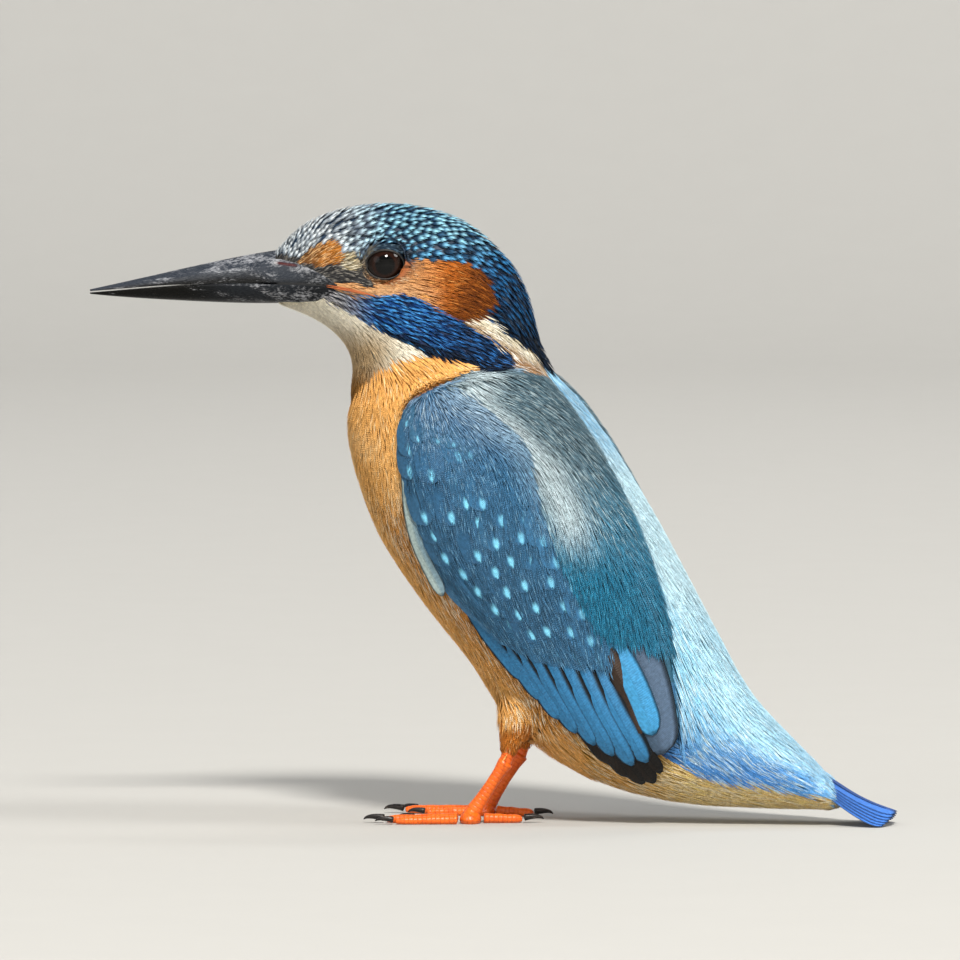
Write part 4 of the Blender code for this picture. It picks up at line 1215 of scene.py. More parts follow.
# Wing rows: how many feathers, their size in mm, how far they stand off the skin, how strong their
# turquoise tip spot is, their colour, how much it varies, and the path (y, z) that their tips follow.
rowKeys = ("count", "long", "wide", "lift", "spot", "tint", "vary", "path")
wingRows = [dict(zip(rowKeys, row)) for row in (
    (10, 12.0, 4.6, 0.40, 0.25, "#3f7aa6", 0.08,
     [(0.5, 35.5), (4.2, 32.0), (9.5, 28.6), (14, 27.4), (18.5, 26.6), (22.5, 26.2), (26.0, 25.4)]),
    (6, 7.5, 4.8, 0.42, 0.6, "#3a7098", 0.10,
     [(10.8, 50.4), (14.0, 46.6), (16.6, 42.6), (19.0, 38.6), (20.1, 34.6), (21.6, 30.0)]),
    (9, 7.5, 4.8, 0.44, 0.8, "#376b92", 0.10,
     [(-0.2, 60.6), (2.3, 55), (4.8, 51.2), (8.9, 48.8), (11.2, 44.6), (14.4, 40.8), (17.2, 36.6), (18.2, 31.2)]),
    (9, 7.5, 4.8, 0.46, 1.0, "#36678b", 0.10,
     [(-3.4, 60), (-0.6, 55.4), (2.4, 50.6), (5.0, 46.9), (8.6, 43.0), (11.0, 38.6), (14.6, 31.6)]),
    (10, 8.0, 5.2, 0.48, 1.0, "#34648a", 0.10,
     [(-6.0, 61), (-4.7, 55.8), (-2.9, 51.8), (-0.6, 48.2), (2.4, 45.0), (5.2, 41.6), (9.6, 35.0), (11.8, 30.8)]),
    (10, 8.0, 5.2, 0.50, 1.0, "#336387", 0.10,
     [(-8.9, 61.2), (-8.6, 56.2), (-7.0, 51.6), (-5.1, 47.6), (-3.0, 44.2), (0.2, 40.8), (4.8, 35.9), (8.4, 32.2)]),
    (5, 4.4, 3.0, 0.52, 0.8, "#3b6b8c", 0.10, [(-9.6, 66.0), (-7.7, 63.6), (-4.6, 63.4), (-1.6, 63.6), (1.6, 61.2)]),
)]
wingLook = {"spotTint": "#84dafc", "astray": 0.18, "out": 8, "foldedOut": 7, "shaft": 0.6, "thick": 0.04}


def alongPath(path, number):
    corners = np.array(path, float)
    steps = np.concatenate([[0], np.cumsum(np.linalg.norm(np.diff(corners, axis=0), axis=1))])
    at = np.linspace(0, steps[-1], number)
    return np.stack([np.interp(at, steps, corners[:, 0]), np.interp(at, steps, corners[:, 1])], axis=1)


def castSide(tree, y, z, side):
    # where a line from the bird's side first meets the form; None past its edge
    hit = tree.ray_cast(Vector((side * 60, y, z)), Vector((-side, 0, 0)))
    return hit[0].x if hit[0] is not None else None


veil = {"gap": 0.34, "long": 2.0, "wide": 0.12, "thick": 0.03, "shape": "strand", "look": "silky",
        "barbVary": 0.0, "even": 0.9, "sink": -0.52, "clear": 1.5, "strong": 0.5, "spotAt": 0.15, "narrow": 1.5}


def coverWing(side, sideName):
    tips, rows = [], []
    for row in wingRows:
        for y, z in alongPath(row["path"], row["count"]) + rng.normal(0, wingLook["astray"], (row["count"], 2)):
            x = castSide(outerTree, y, z, side)
            if x is not None and abs(x) > wingLook["out"]:
                tips.append((x, y, z))
                rows.append(row)
    ends, normals, _ = surfaceNear(np.array(tips))
    long, wide, lift, spot, vary = (np.array([row[key] for row in rows]) for key in
                                    ("long", "wide", "lift", "spot", "vary"))
    way = lieAt(ends, normals, wingLie)
    roots, rootNormals, _ = surfaceNear(ends - way * long[:, None])
    way = laidFlat(unit(ends - roots), rootNormals)
    points, faces, shading = layFeathers(broad, roots, rootNormals, way, long, wide, wingLook["thick"], lift,
                                         sink=-0.24, droop=0.01, twist=0.03 * side)
    tint = np.array([hexToLinear(row["tint"]) for row in rows]) * rng.uniform(1 - vary, 1 + vary)[:, None]
    a, b = broad[0][:, 0][None, :, None], np.abs(broad[0][:, 1])[None, :, None]
    barb = barbPlaces(broad, long, wide)
    look = {
        "tint": tint[:, None, :] * (1 - 0.12 * b ** 3) * (0.85 + 0.15 * a),
        "light": np.ones(points.shape) * hexToLinear(wingLook["spotTint"]),
        "barb": barb,
        "mark": np.ones(points.shape) * np.stack([spot, 0 * spot + wingLook["shaft"], 0 * spot], axis=1)[:, None, :],
    }
    coatPiece("wingCoverts" + sideName, points, faces, look, cellPatch(len(rows), barb), "vane",
              shading)
    # loose barbs over the vanes soften their edges, and leave the bright spots clear
    roots, picks = sow("covert", veil["gap"], faceVeiled & (faceCentres[:, 0] * side > 0))
    middles = roots + lieAt(roots, faceNormals[picks], wingLie) * veil["long"] * 0.5
    near = np.full(len(roots), 9.0)
    for place in (ends - way * (long * veil["spotAt"])[:, None])[spot > veil["strong"]]:
        near = np.minimum(near, np.hypot((middles[:, 1] - place[1]) * veil["narrow"], middles[:, 2] - place[2]))
    clear = near > veil["clear"]
    roots, picks = roots[clear], picks[clear]
    points, faces, look, shading = strew("covert", roots, picks, veil)
    coatPiece("wingVeil" + sideName, points, faces, look, rootPatch(picks, look["barb"]), "silky",
              shading)


for side, sideName, _ in sides:
    coverWing(side, sideName)
print("wing coverts laid")

# The folded wing's side as a smooth height above the middle plane, for the long flight feathers.
fieldStep = 0.8
fieldY, fieldZ = np.arange(-14, 44, fieldStep), np.arange(0, 78, fieldStep)
foldedTree = treeOf("wing_left", "primaries_left")


def wingField():
    cast = [[castSide(foldedTree, y, z, 1) or 0 for z in fieldZ] for y in fieldY]
    weight = (np.array(cast) > wingLook["foldedOut"]).astype(float)
    filled = np.where(weight > 0, cast, 0)

    def around(values):
        return sum(np.roll(values, shift, axis) for axis in (0, 1) for shift in (-1, 1))

    # spread the known heights outward, then even them out
    for _ in range(14):
        total, totalWeight = around(filled), around(weight)
        grow = (weight == 0) & (totalWeight > 0)
        filled[grow] = total[grow] / totalWeight[grow]
        weight[grow] = 1
    for _ in range(5):
        filled = 0.4 * filled + 0.15 * around(filled)
    return filled


sideField = wingField()


def fieldAt(y, z):
    u, v = (np.clip((place - line[0]) / fieldStep, 0, len(line) - 1.001) for place, line in
            ((y, fieldY), (z, fieldZ)))
    i, j = u.astype(int), v.astype(int)
    fu, fv = u - i, v - j
    return (sideField[i, j] * (1 - fu) * (1 - fv) + sideField[i + 1, j] * fu * (1 - fv)
            + sideField[i, j + 1] * (1 - fu) * fv + sideField[i + 1, j + 1] * fu * fv)


# Flight feathers of the folded wing, outermost first: root and tip (y, z), width and bow in mm, height
# over the wing's side, colours of the web towards the belly and towards the back, and how dark rim and
# shaft are.
flightFeathers = {
    "primaries": {
        "root": [(14.5, 26), (15.5, 27), (16.5, 28), (17.5, 29), (18.5, 30)],
        "tip": [(24.0, 10.4), (26.6, 8.2), (28.9, 7.0), (30.8, 7.2), (32.0, 9.0)],
        "wide": [3.4, 3.4, 3.4, 3.4, 3.2], "bow": -0.03, "low": -0.55, "step": 0.10,
        "webs": [("#1c1510", "#100c09")], "rim": 0.5, "shaft": 0.6, "slot": "plumage_brown",
    },
    "secondaries": {
        "root": [(-0.5, 38), (1.5, 38), (4.0, 38), (7.0, 38), (10.0, 37.5), (13.0, 37), (16.0, 36), (18.5, 35)],
        "tip": [(9.5, 24.4), (12.6, 21.0), (15.4, 17.9), (18.2, 15.6), (21.2, 13.6), (24.2, 11.8), (27.4, 10.2),
                (29.9, 10.8)],
        "wide": [2.6, 2.8, 3.0, 3.2, 3.4, 3.6, 3.9, 4.2], "bow": -0.02, "low": -0.42, "step": 0.07,
        "webs": [("#3a88be", "#0f202c")], "rim": 0.95, "shaft": 0.15, "slot": "plumage_teal",
    },
    "tertials": {
        "root": [(25.0, 36), (18.8, 36.5), (20.6, 35.5)],
        "tip": [(32.4, 12.2), (29.2, 15.0), (31.4, 15.6)],
        "wide": [7.2, 3.2, 4.4], "bow": 0.06, "low": -0.12, "step": 0.20,
        "webs": [("#4a5f76", "#566c86"), ("#33271f", "#3d2d22"), ("#4499cc", "#4094c8")],
        "rim": 0.8, "shaft": 0.1, "slot": "plumage_teal",
    },
    "frontEdge": {
        "root": [(-10.0, 58.5)], "tip": [(-3.9, 38.2)], "wide": [2.4], "bow": -0.062, "low": -0.25, "step": 0.0,
        "webs": [("#a9bcba", "#7f9ba8")], "rim": 0.6, "shaft": 0.1, "slot": "plumage_teal",
    },
}


flightLook = {"rootDip": 1.2, "lean": 0.10, "thick": 0.16,   # mm
              "riseFrom": 0.08, "riseTo": 0.62, "firstFade": 0.70, "rootShade": 0.75, "vary": (0.92, 1.08)}


def bladeRow(name, points, faces, tints, lengths, widths, mark):
    # joins long feathers that were shaped one by one
    barb = barbPlaces(blade, lengths, widths)
    look = {"tint": np.array(tints), "light": np.ones(points.shape), "barb": barb, "mark": np.ones(points.shape) * mark}
    return coatPiece(name, points, faces, look, cellPatch(len(points), barb), "vane")


def flightSet(name, entry, side, sideName):
    template, faces = blade
    a, b, h, w = template.T[:4]
    second = name == "secondaries"
    pieces, tints, lengths = [], [], []
    for index, (root, tip, wide) in enumerate(zip(entry["root"], entry["tip"], entry["wide"])):
        root = np.array(root, float)
        span = np.array(tip, float) - root
        length = np.linalg.norm(span)
        across = np.array([-span[1] / length, span[0] / length])     # towards the back
        centre = root + span * a[:, None] + across * (entry["bow"] * length * np.sin(math.pi * a) ** 1.3)[:, None]
        flat = centre + across * (b * w * wide * 0.5)[:, None]
        dip, risen = flightLook["rootDip"], smooth(a, flightLook["riseFrom"], flightLook["riseTo"])
        rise = -dip + (dip + (entry["low"] + entry["step"] * index)) * risen
        lean = flightLook["lean"] * b * w             # the back edge rides over, the belly edge tucks under
        x = fieldAt(flat[:, 0], flat[:, 1]) + rise + lean + h * flightLook["thick"]
        pieces.append(np.stack([side * x, flat[:, 0], flat[:, 1]], axis=1))
        lengths.append(length)
        outer, inner = map(hexToLinear, entry["webs"][index % len(entry["webs"])])
        web = mixed(outer, inner, smooth(b, 0.52, 0.74) if second else smooth(b, -0.1, 0.1))
        first, rootShade = flightLook["firstFade"], flightLook["rootShade"]
        fade = first + (1 - first) * (index / max(len(entry["root"]) - 1, 1)) if second else 1.0
        tints.append(web * (rootShade + (1 - rootShade) * a)[:, None] * fade * rng.uniform(*flightLook["vary"]))
    return bladeRow(name + sideName, np.array(pieces), faces[:, ::side], tints, lengths, entry["wide"],
                    np.array([0.0, entry["shaft"], entry["rim"]]))


for side, sideName, word in sides:
    for name, entry in flightFeathers.items():
        piece = flightSet(name, entry, side, sideName)
        if name == "primaries":
            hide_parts("primaries_" + word)
print("flight feathers laid")

# Tail: twelve feathers fanned under the rump, the middle pair on top.
tailLook = {"count": 12, "rootY": 54.0, "tipY": 70.0, "rootSpread": 2.2, "tipSpread": 5.9, "wide": 3.0,
            "middle": 2.7, "round": 1.6, "halfSolid": 6.6, "solidEnd": 69.6, "low": 0.30, "step": 0.09,
            "thick": 0.14, "lean": 0.12, "rootDip": 0.6, "floor": 0.25, "outer": "#3f76cc", "inner": "#1c4488",
            "crowd": 0.65, "rim": 0.35, "shaft": 0.15}
tailTree = treeOf("tail", "rump")


def tailTop(x, y):
    # height of the tail's solid under a place
    inside = Vector((min(max(x, -tailLook["halfSolid"]), tailLook["halfSolid"]), min(y, tailLook["solidEnd"]), 60))
    hit = tailTree.ray_cast(inside, Vector((0, 0, -1)))
    return hit[0].z if hit[0] is not None else 1.0


def buildTail():
    template, faces = blade
    a, b, h, w = template.T[:4]
    pieces, tints, lengths, widths = [], [], [], []
    middle = (tailLook["count"] - 1) / 2
    for rank in np.arange(tailLook["count"]) - middle:
        share = np.sign(rank) * abs(rank / middle) ** tailLook["crowd"]    # the middle pair shows most
        tip = np.array([share * tailLook["tipSpread"], tailLook["tipY"] - tailLook["round"] * share * share])
        root = np.array([share * tailLook["rootSpread"], tailLook["rootY"]])
        span = tip - root
        length = np.linalg.norm(span)
        across = np.array([span[1], -span[0]]) / length
        wide = tailLook["wide"] + tailLook["middle"] * (1 - abs(share))
        flat = root + span * a[:, None] + across * (b * w * wide * 0.5)[:, None]
        heights = np.array([tailTop(x, y) for x, y in flat])
        heights = 0.5 * heights + 0.5 * np.polyval(np.polyfit(a, heights, 2), a)
        z = (heights - tailLook["low"] - tailLook["step"] * abs(rank) + h * tailLook["thick"]
             + tailLook["lean"] * b * w * -np.sign(rank) - tailLook["rootDip"] * (1 - smooth(a, 0, 0.4)))
        pieces.append(np.stack([flat[:, 0], flat[:, 1], np.maximum(z, tailLook["floor"])], axis=1))
        web = mixed(hexToLinear(tailLook["inner"]), hexToLinear(tailLook["outer"]),
                    smooth(b * np.sign(rank), -0.2, 0.3))
        tints.append(web * (0.8 + 0.3 * a)[:, None])
        lengths.append(length)
        widths.append(wide)
    piece = bladeRow("tailFeathers", np.array(pieces), faces[:, ::-1], tints, lengths, widths,
                     np.array([0.0, tailLook["shaft"], tailLook["rim"]]))
    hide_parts("tail")


buildTail()
print("tail laid; coat so far", sum(coatCount), "triangles")


# Bill: lengths and heights in mm, read at even steps from its root to its tip.
billLook = {
    "rootY": -34.2, "tipY": -64.9, "backIn": 1.4,
    "ridge": (95.0, 93.9, 92.7, 91.2, 89.9, 88.5),
    "cut": (89.6, 89.6, 89.45, 89.1, 88.6, 88.1),
    "keel": (86.2, 86.25, 86.5, 86.8, 87.2, 87.75),
    "half": (3.6, 3.0, 2.45, 1.85, 1.15, 0.35),
    "middle": 89.0,       # height of its middle
    "gap": 0.11,          # how far it opens towards its tip
    "seam": 0.008,
    "hollow": 0.25,
    "tipRound": 1.2,
    "finerFrom": -60.0,   # its last rings stand closer
    "rings": 52, "tipRings": 12, "ringGap": 0.4,
    "opensFrom": -45, "opensOver": 8,
    "upperPower": 1.22,   # how full its cross-section is
    "lowerPower": 1.08,
}


def billLine(key, y):
    steps = np.linspace(billLook["rootY"], billLook["tipY"], 6)
    return np.polyval(np.polyfit(steps, billLook[key], 4), y)


def plainPiece(name, points, faces, barb, tint, material):
    mesh = meshFromArrays(name, toWorld(points), faces)
    setColours(mesh, "tint", tint)
    setVectors(mesh, "barb", barb)
    return showPiece(name, mesh, material)


def hornPiece(name, points, faces, worn, tint, upper):
    around = np.arctan2(points[:, 2] - billLook["middle"], points[:, 0]) * 2.5
    return plainPiece(name, points, faces, np.stack([points[:, 1], around, worn], axis=1), tint,
                      hornDark if upper else hornLow)


hornDark = hornMaterial("wornBlackBillHorn", hornLook)
hornLow = hornMaterial("smoothBlackLowerBillHorn", dict(hornLook, dark="#030302", mid="#080705", gloss=0.12))


def buildBill(upper):
    sign, power = (1, billLook["upperPower"]) if upper else (-1, billLook["lowerPower"])
    t = np.linspace(0, math.pi, 15)
    profile = list(zip(np.sign(np.cos(t)) * np.abs(np.cos(t)) ** power, np.sin(t) ** power))
    rings = []
    finer = billLook["finerFrom"]
    ends = ((billLook["rootY"] + billLook["backIn"], finer, billLook["rings"]),
            (finer - billLook["ringGap"], billLook["tipY"], billLook["tipRings"]))
    for at in np.concatenate([np.linspace(*end) for end in ends]):
        reach = min(max((at - billLook["tipY"]) / billLook["tipRound"], 0), 1) ** 0.5
        wide = billLine("half", at) * (0.25 + 0.75 * reach)
        edge = billLine("ridge" if upper else "keel", at)
        opened = billLook["gap"] * smooth(billLook["opensFrom"] - at, 0, billLook["opensOver"])
        start = billLine("cut", at) + sign * (opened + billLook["seam"])
        hollow = billLook["hollow"] * sign * min(wide / 2, 1)
        rings.append([(wide * s, at, start + (edge - start) * r) for s, r in profile]
                     + [(wide * s, at, start + hollow * (1 - s * s)) for s in np.linspace(-1, 1, 7)[1:-1]])
    points, faces = closedLoft(np.array(rings))
    y = points[:, 1]
    if upper:
        # the upper half carries a painted sheen, lighter towards its ridge as if lit from above, and is worn most high
        # up near the face
        cut, ridge = billLine("cut", y), billLine("ridge", y)
        share = smooth((points[:, 2] - cut) / (ridge - cut), 0.1, 0.6)
        worn = share * smooth(y, -57, -42)
    else:
        # the lower half carries a fainter painted sheen towards its root, and is worn a little only there
        share, worn = 0.4 * smooth(y, -50, -38), 1.1 * smooth(y, -47, -40) - 0.8
    piece = hornPiece("billUpperHorn" if upper else "billLowerHorn", points, faces[:, ::-sign], worn,
                      hexToLinear(hornLook["sheen"]) * share[:, None], upper)
    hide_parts("bill_upper" if upper else "bill_lower")


buildBill(True)
buildBill(False)

# Horn of the bill that runs back over the face on both sides of the gape: upper and lower edge (y, z).
hornLobes = {
    "upper": {"top": [(-40, 92.4), (-36.2, 93.7), (-33, 93.6), (-30.4, 93.0), (-28.2, 92.2), (-26.2, 91.2),
                      (-24.6, 90.2), (-23.4, 89.2)],
              "bottom": [(-40, 89.7), (-36.2, 89.75), (-30, 89.7), (-25.6, 89.38), (-23.4, 89.0)]},
    "lower": {"top": [(-40, 89.3), (-36.2, 89.45), (-30, 89.45), (-25.6, 89.2), (-24.2, 88.9)],
              "bottom": [(-40, 87.0), (-36.2, 86.45), (-30, 86.5), (-27, 86.75), (-25.4, 87.5), (-24.2, 88.6)]},
}
lobeShape = {"proud": 0.20, "base": 0.05, "sunk": 0.25, "thick": 1.0, "wornFrom": 90.1, "wornLower": 1.5,   # mm
             "rows": 84, "columns": 31, "crowd": 0.9, "billEnds": (-40.0, -36.0), "headStarts": (-39.0, -34.0),
             "headFront": -33.4, "inHead": 0.22}
nostril = {"from": (-34.3, 93.1), "to": (-30.2, 92.6), "wide": 0.22, "tint": "#4a0c06"}


def faceSide(y, z, side):
    # side of the face or bill at a height, in mm
    cut = billLine("cut", y)
    edge = billLine("ridge" if z > cut else "keel", y)
    share = min(abs((z - cut) / (edge - cut)), 0.98)
    bill = billLine("half", y) * (1 - share ** 1.64) ** 0.61
    head = castSide(outerTree, max(y, lobeShape["headFront"]), z, side)
    head = abs(head) - lobeShape["inHead"] if head is not None else bill
    onHead = float(smooth(y, *lobeShape["headStarts"]))
    return bill * (1 - onHead) + max(head, 0) * onHead


def buildLobe(kind, side, sideName):
    lobe = hornLobes[kind]
    rows, columns = lobeShape["rows"], lobeShape["columns"]
    front, back = lobe["top"][0][0], lobe["top"][-1][0]
    outer, inner = [], []
    for i in range(rows):
        y = front + (back - front) * (i / (rows - 1)) ** lobeShape["crowd"]
        top, low = float(lineAt(lobe["top"], y)), float(lineAt(lobe["bottom"], y))
        end, ramp = float(smooth(back - y, 0.0, 1.0)), float(smooth(y, *lobeShape["billEnds"]))
        for v in np.arange(columns) / (columns - 1):
            z = low + (top - low) * v
            x = faceSide(y, z, side)
            swell = lobeShape["proud"] * (1 - abs(2 * v - 1) ** 6) * end - lobeShape["base"]
            outer.append((side * (x + (ramp * swell - lobeShape["sunk"] * (1 - ramp))), y, z))
            inner.append((side * (x - lobeShape["thick"]), y, z))
    points = np.array(outer + inner)
    grid = np.arange(rows * columns).reshape(rows, columns)
    faces = sheetFaces(grid, grid + grid.size)
    rim = [*grid[:, 0], *grid[-1, 1:], *grid[-2::-1, -1], *grid[0, -2:0:-1]]
    for here, after in zip(rim, rim[1:] + rim[:1]):
        faces += [(here, here + grid.size, after + grid.size), (here, after + grid.size, after)]
    y, z = points[:, 1], points[:, 2]
    if kind == "upper":
        # the plates at the root are worn lower down than the bill in front of them
        start = lobeShape["wornFrom"] - lobeShape["wornLower"] * smooth(y, -38, -33)
        high = smooth(z, start, start + 2.4)
        (y0, z0), (y1, z1) = nostril["from"], nostril["to"]
        middle = z0 + (z1 - z0) * (y - y0) / (y1 - y0)
        slit = (smooth(y, y0, y0 + 1.2) * smooth(y1 - y, -0.2, 0.8)
                * np.exp(-((z - middle) / nostril["wide"]) ** 2))
        worn = high + 0.15 * smooth(y, -38, -33) - 1.5 * slit
    else:
        slit, high = 0 * z, 0.4 + 0 * z
        worn = high - 0.1 + 0.25 * smooth(y, -35, -30)
    # painted sheen: the upper lobe's high part and the whole lower lobe are lightened as if catching light, half as
    # much towards the face, none in the nostril
    sheen = high * (1 - slit) * (0.5 + 0.5 * smooth(-27.5 - y, 0, 4))
    tint = hexToLinear(hornLook["sheen"]) * sheen[:, None] + hexToLinear(nostril["tint"]) * slit[:, None]
    hornPiece(kind + "Lobe" + sideName, points, np.array(faces)[:, ::side], worn, tint, kind == "upper")


def tubeRings(path, radii, count=10, flatten=1.0):
    # rings round a path, flattened across the bird if asked
    path = np.array(path, float)
    ahead = unit(np.gradient(path, axis=0))
    out = unit(np.cross(ahead, np.array([0, 0, 1.0])))
    up = unit(np.cross(out, ahead))
    turn = np.linspace(0, 2 * math.pi, count, endpoint=False)[None, :, None]
    return path[:, None, :] + np.asarray(radii)[:, None, None] * (
        out[:, None, :] * np.cos(turn) * flatten + up[:, None, :] * np.sin(turn))


gape = {"line": [(-25.4, 89.3), (-24, 89.1), (-22, 88.75), (-20, 88.35), (-18.2, 87.95), (-17.3, 87.75)],
        "lipGap": 0.14, "thick": 0.13, "proud": 0.16, "rings": 26}
gapeSkin, lidSkin = bareSkinMaterial(bareSkins["gape"]), bareSkinMaterial(bareSkins["lid"])
eyeGlass = eyeMaterial()


def barePiece(name, points, faces, material, slot):
    plainPiece(name, points, faces, points * 1.0, np.ones_like(points), material)


def buildGape(side, sideName):
    start, end = gape["line"][0][0], gape["line"][-1][0]
    for lip, shift in (("Upper", 1), ("Lower", -1)):
        path, radii = [], []
        for share in np.linspace(0, 1, gape["rings"]):
            y = start + (end - start) * share
            z = float(lineAt(gape["line"], y)) + shift * gape["lipGap"] * math.sin(math.pi * min(share * 0.5 + 0.45, 1))
            path.append((side * (faceSide(y, z, side) + gape["proud"]), y, z))
            radii.append(gape["thick"] * max(math.sin(math.pi * (0.06 + 0.9 * share)), 0.12) ** 0.6)
        barePiece("gape" + lip + sideName, *closedLoft(tubeRings(path, radii, flatten=0.8)), gapeSkin, "leg_skin")


def buildEye(side, sideName, word):
    rings, columns, steps, across = 34, 56, 72, 12    # of the ball, then of its lids
    points, barb = [], []
    for i in range(rings):
        polar = math.pi * (0.002 + 0.7 * i / (rings - 1))
        away = eyeShape["ball"] * math.sin(polar)
        bulge = eyeShape["bulge"] * math.exp(-(away / eyeShape["bulgeWide"]) ** 4)
        for j in range(columns):
            turn = 2 * math.pi * j / columns
            points.append((side * (eyeShape["x"] + (eyeShape["ball"] + bulge) * math.cos(polar)),
                           eyeShape["y"] + away * math.cos(turn), eyeShape["z"] + away * math.sin(turn)))
            barb.append((away, math.cos(turn) * 2, math.sin(turn) * 2))
    points, faces = closedLoft(np.array(points).reshape(rings, columns, 3))
    piece = plainPiece("eyeball" + sideName, points, faces[:, ::side], np.array(barb + [(0, 0, 0), (4, 0, 0)]),
                       np.ones_like(points), eyeGlass)
    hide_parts("eye_" + word)
    # lids: a rounded rim that hugs the ball
    points = []
    for i in range(steps):
        turn = 2 * math.pi * i / steps
        dy, dz = eyeShape["long"] * math.cos(turn), eyeShape["high"] * math.sin(turn)
        depth = math.sqrt(max(eyeShape["ball"] ** 2 - dy * dy - dz * dz, 0))
        normal = unit(np.array([depth, dy, dz]))
        along = unit(np.cross(normal, np.cross(unit(np.array([0.0, dy, dz])), normal)))
        centre = np.array([eyeShape["x"] + depth, eyeShape["y"] + dy, eyeShape["z"] + dz])
        centre = centre + normal * eyeShape["rimOff"]
        for j in range(across):
            around = 2 * math.pi * j / across
            out = normal * math.cos(around) * eyeShape["rimFlat"] + along * math.sin(around)
            spot = centre + out * eyeShape["rim"]
            points.append((side * spot[0], spot[1], spot[2]))
    faces = np.array(gridFaces(np.pad(ringGrid(steps, across), ((0, 1), (0, 0)), mode="wrap")))
    barePiece("eyelid" + sideName, np.array(points), faces[:, ::-side], lidSkin, "eye")


for side, sideName, word in sides:
    buildLobe("upper", side, sideName)
    buildLobe("lower", side, sideName)
    buildGape(side, sideName)
    buildEye(side, sideName, word)
print("bill, gape and eyes built")

# Feet: the shank and toes become one skin with cross scutes; claws stay separate.
footLook = {"grain": 0.17, "evenness": 0.5, "rounds": 5, "scute": 0.75, "clawCuts": 2, "clawRounds": 3,
            "clawEase": 0.3}
footSkin = bareSkinMaterial(bareSkins["foot"], scutes=0.6)
clawLook = {"dark": "#100d0c", "mid": "#2b2523", "worn": "#6b6058", "streak": 0.3, "rough": 0.3, "gloss": 0.28,
            "wornBy": 0.0}
clawHorn = hornMaterial("darkClawHorn", clawLook)
toeNames = ["inner", "middle", "outer", "hind"]
shankTop = {"path": [(ankle["out"], ankle["back"], 9.6), (8.2, 6.4, 13.2), (8.1, 7.4, 17.0)], "radii": [1.0, 1.15, 1.5]}


def buildFoot(side, sideName, word):
    names = ["leg_" + word] + ["toe_" + toe + "_" + word for toe in toeNames]
    joined = bmesh.new()
    for name in names:
        joined.from_mesh(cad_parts[name].data)
    # the shank runs on up into the thigh's feathers
    joinLoft(joined, tubeRings([(side * x, y, z) for x, y, z in shankTop["path"]], shankTop["radii"], 14))
    foot = remeshed("footSolid", joined, footLook["grain"], footLook["evenness"], footLook["rounds"])
    points = pointsOf(foot).astype(float)
    nearest, along = np.full(len(points), 1e9), np.zeros(len(points))
    # scutes cross each toe and the shank along its own length
    for name in names:
        cloud = pointsOf(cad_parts[name].data).astype(float)
        centre = cloud.mean(axis=0)
        axis = np.linalg.svd(cloud - centre, full_matrices=False)[2][0]
        run, own = (points - centre) @ axis, (cloud - centre) @ axis
        gap = np.linalg.norm(points - centre - np.clip(run, own.min(), own.max())[:, None] * axis, axis=1)
        closer = gap < nearest
        nearest[closer] = gap[closer]
        along[closer] = run[closer] / mm / footLook["scute"]
    points[:, 2] = np.maximum(points[:, 2], 0)
    movePoints(foot, points)
    setVectors(foot, "barb", np.stack([along, along, along], axis=1))
    smoothFaces(foot)
    foot.materials.clear()
    piece = showPiece("footSkin" + sideName, foot, footSkin)
    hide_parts(*names)
    for toe in toeNames:
        name = "claw_" + toe + "_" + word
        claw = solidOf(name)
        bmesh.ops.subdivide_edges(claw, edges=claw.edges, cuts=footLook["clawCuts"], use_grid_fill=True)
        for _ in range(footLook["clawRounds"]):
            bmesh.ops.smooth_vert(claw, verts=claw.verts, factor=footLook["clawEase"], use_axis_x=True,
                                  use_axis_y=True, use_axis_z=True)
        mesh = meshFromParts("claw" + toe.capitalize() + sideName, claw)
        cloud = toStraight(pointsOf(mesh))
        mesh.materials.clear()
        setColours(mesh, "tint", np.zeros_like(cloud))
        setVectors(mesh, "barb", cloud[:, [1, 2, 0]])
        smoothFaces(mesh)
        piece = showPiece(mesh.name, mesh, clawHorn)
        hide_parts(name)


for side, sideName, word in sides:
    buildFoot(side, sideName, word)
print("feet and claws built")

# The studio: one round bay of pale matt paper, with floor, curved sweep and wall on every side.
stageLook = {"paper": "#b7b6b2", "radius": 2.7, "wallHeight": 1.5, "sweep": 0.9}


def paperMaterial():
    made, tree = newMaterial("mattStudioPaper")
    grain = addNoise(tree, 60.0, 4.0, ownSpace(tree))
    return finishMaterial(made, {"Roughness": 0.85, "Base Color": addMix(
        tree, grain, opaque(stageLook["paper"], 0.97), opaque(stageLook["paper"]))})


def buildStage():
    steps, around = 16, 96
    flat, sweep = stageLook["radius"] - stageLook["sweep"], stageLook["sweep"]
    profile = [(0.3, 0.0), (flat, 0.0)]
    for step in range(1, steps + 1):
        turn = math.pi / 2 * step / steps
        profile.append((flat + math.sin(turn) * sweep, sweep * (1 - math.cos(turn))))
    profile.append((stageLook["radius"], stageLook["wallHeight"]))
    turns = [2 * math.pi * step / around for step in range(around)]
    points = [(0.0, 0.0, 0.0)] + [(run * math.cos(turn), run * math.sin(turn), height)
                                  for run, height in profile for turn in turns]
    grid = 1 + ringGrid(len(profile), around)
    faces = [(0, b, a) for a, b in zip(grid[0], grid[0, 1:])] + gridFaces(grid)
    mesh = meshFromArrays("studioPaper", np.array(points), np.array(faces)[:, ::-1])
    mesh.materials.append(paperMaterial())
    floor = addObject("studioPaper", mesh)


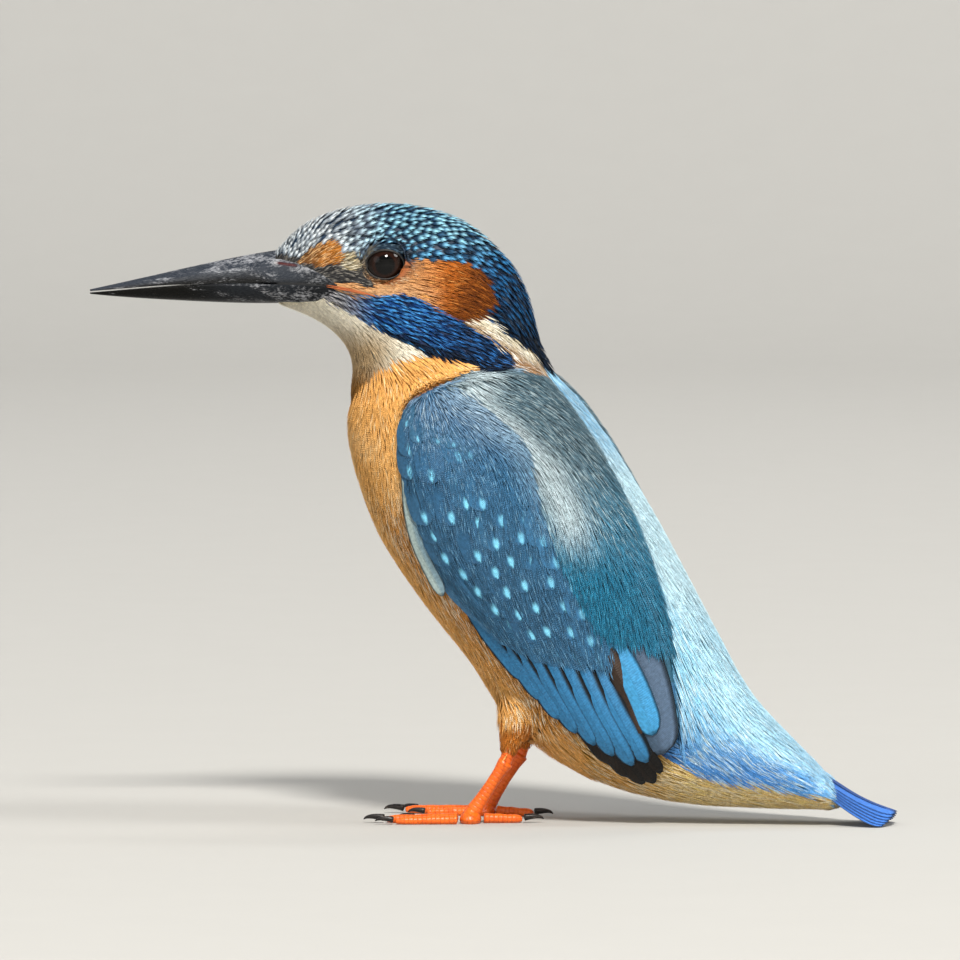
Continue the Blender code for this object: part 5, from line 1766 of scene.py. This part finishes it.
def areaLight(name, plan):
    data = bpy.data.lights.new(name, "AREA")
    data.shape = "DISK"
    data.size, data.energy, data.color = plan["size"], plan["power"], plan["colour"]
    lamp = addObject(name, data)
    lamp.location = plan["place"]
    lamp.rotation_euler = (Vector(plan["target"]) - Vector(plan["place"])).to_track_quat("-Z", "Y").to_euler()


onBird = (0, 0, 0.055)
lightPlan = {
    "key": {"place": (1.9, 0.6, 2.3), "target": onBird, "size": 0.6, "power": 120.0, "colour": (1.0, 0.97, 0.92)},
    "fill": {"place": (1.6, -1.5, 1.1), "target": onBird, "size": 1.4, "power": 6.0, "colour": (0.95, 0.97, 1.0)},
    "wall": {"place": (-1.0, 0.2, 2.1), "target": (-2.7, 0.2, 0.5), "size": 1.2, "power": 24.0,
             "colour": (1.0, 0.99, 0.98)},
    "back": {"place": (0.2, 2.2, 2.0), "target": onBird, "size": 0.9, "power": 30.0, "colour": (1.0, 0.98, 0.95)},
}
buildStage()
for name, plan in lightPlan.items():
    areaLight(name, plan)
world = bpy.data.worlds.new("studioAir")
world.use_nodes = True
world.node_tree.nodes["Background"].inputs["Color"].default_value = (0.9, 0.93, 1.0, 1)
world.node_tree.nodes["Background"].inputs["Strength"].default_value = 0.25
scene.world = world
scene.view_settings.view_transform = "Standard"

cameraPlan = {"azimuth": 99.0, "elevation": 3.0, "distance": 1.78, "frame": 0.160, "height": 0.0567, "sensor": 36.0}


def buildCamera():
    data = bpy.data.cameras.new("camera")
    data.sensor_width = cameraPlan["sensor"]
    data.lens = cameraPlan["sensor"] * cameraPlan["distance"] / cameraPlan["frame"]
    camera = addObject("camera", data)
    a, e = math.radians(cameraPlan["azimuth"]), math.radians(cameraPlan["elevation"])
    back = Vector((math.sin(a) * math.cos(e), -math.cos(a) * math.cos(e), math.sin(e)))
    camera.location = Vector((0, -pose["centreY"] * mm, cameraPlan["height"])) + back * cameraPlan["distance"]
    camera.rotation_euler = (-back).to_track_quat("-Z", "Y").to_euler()
    scene.camera = camera


buildCamera()
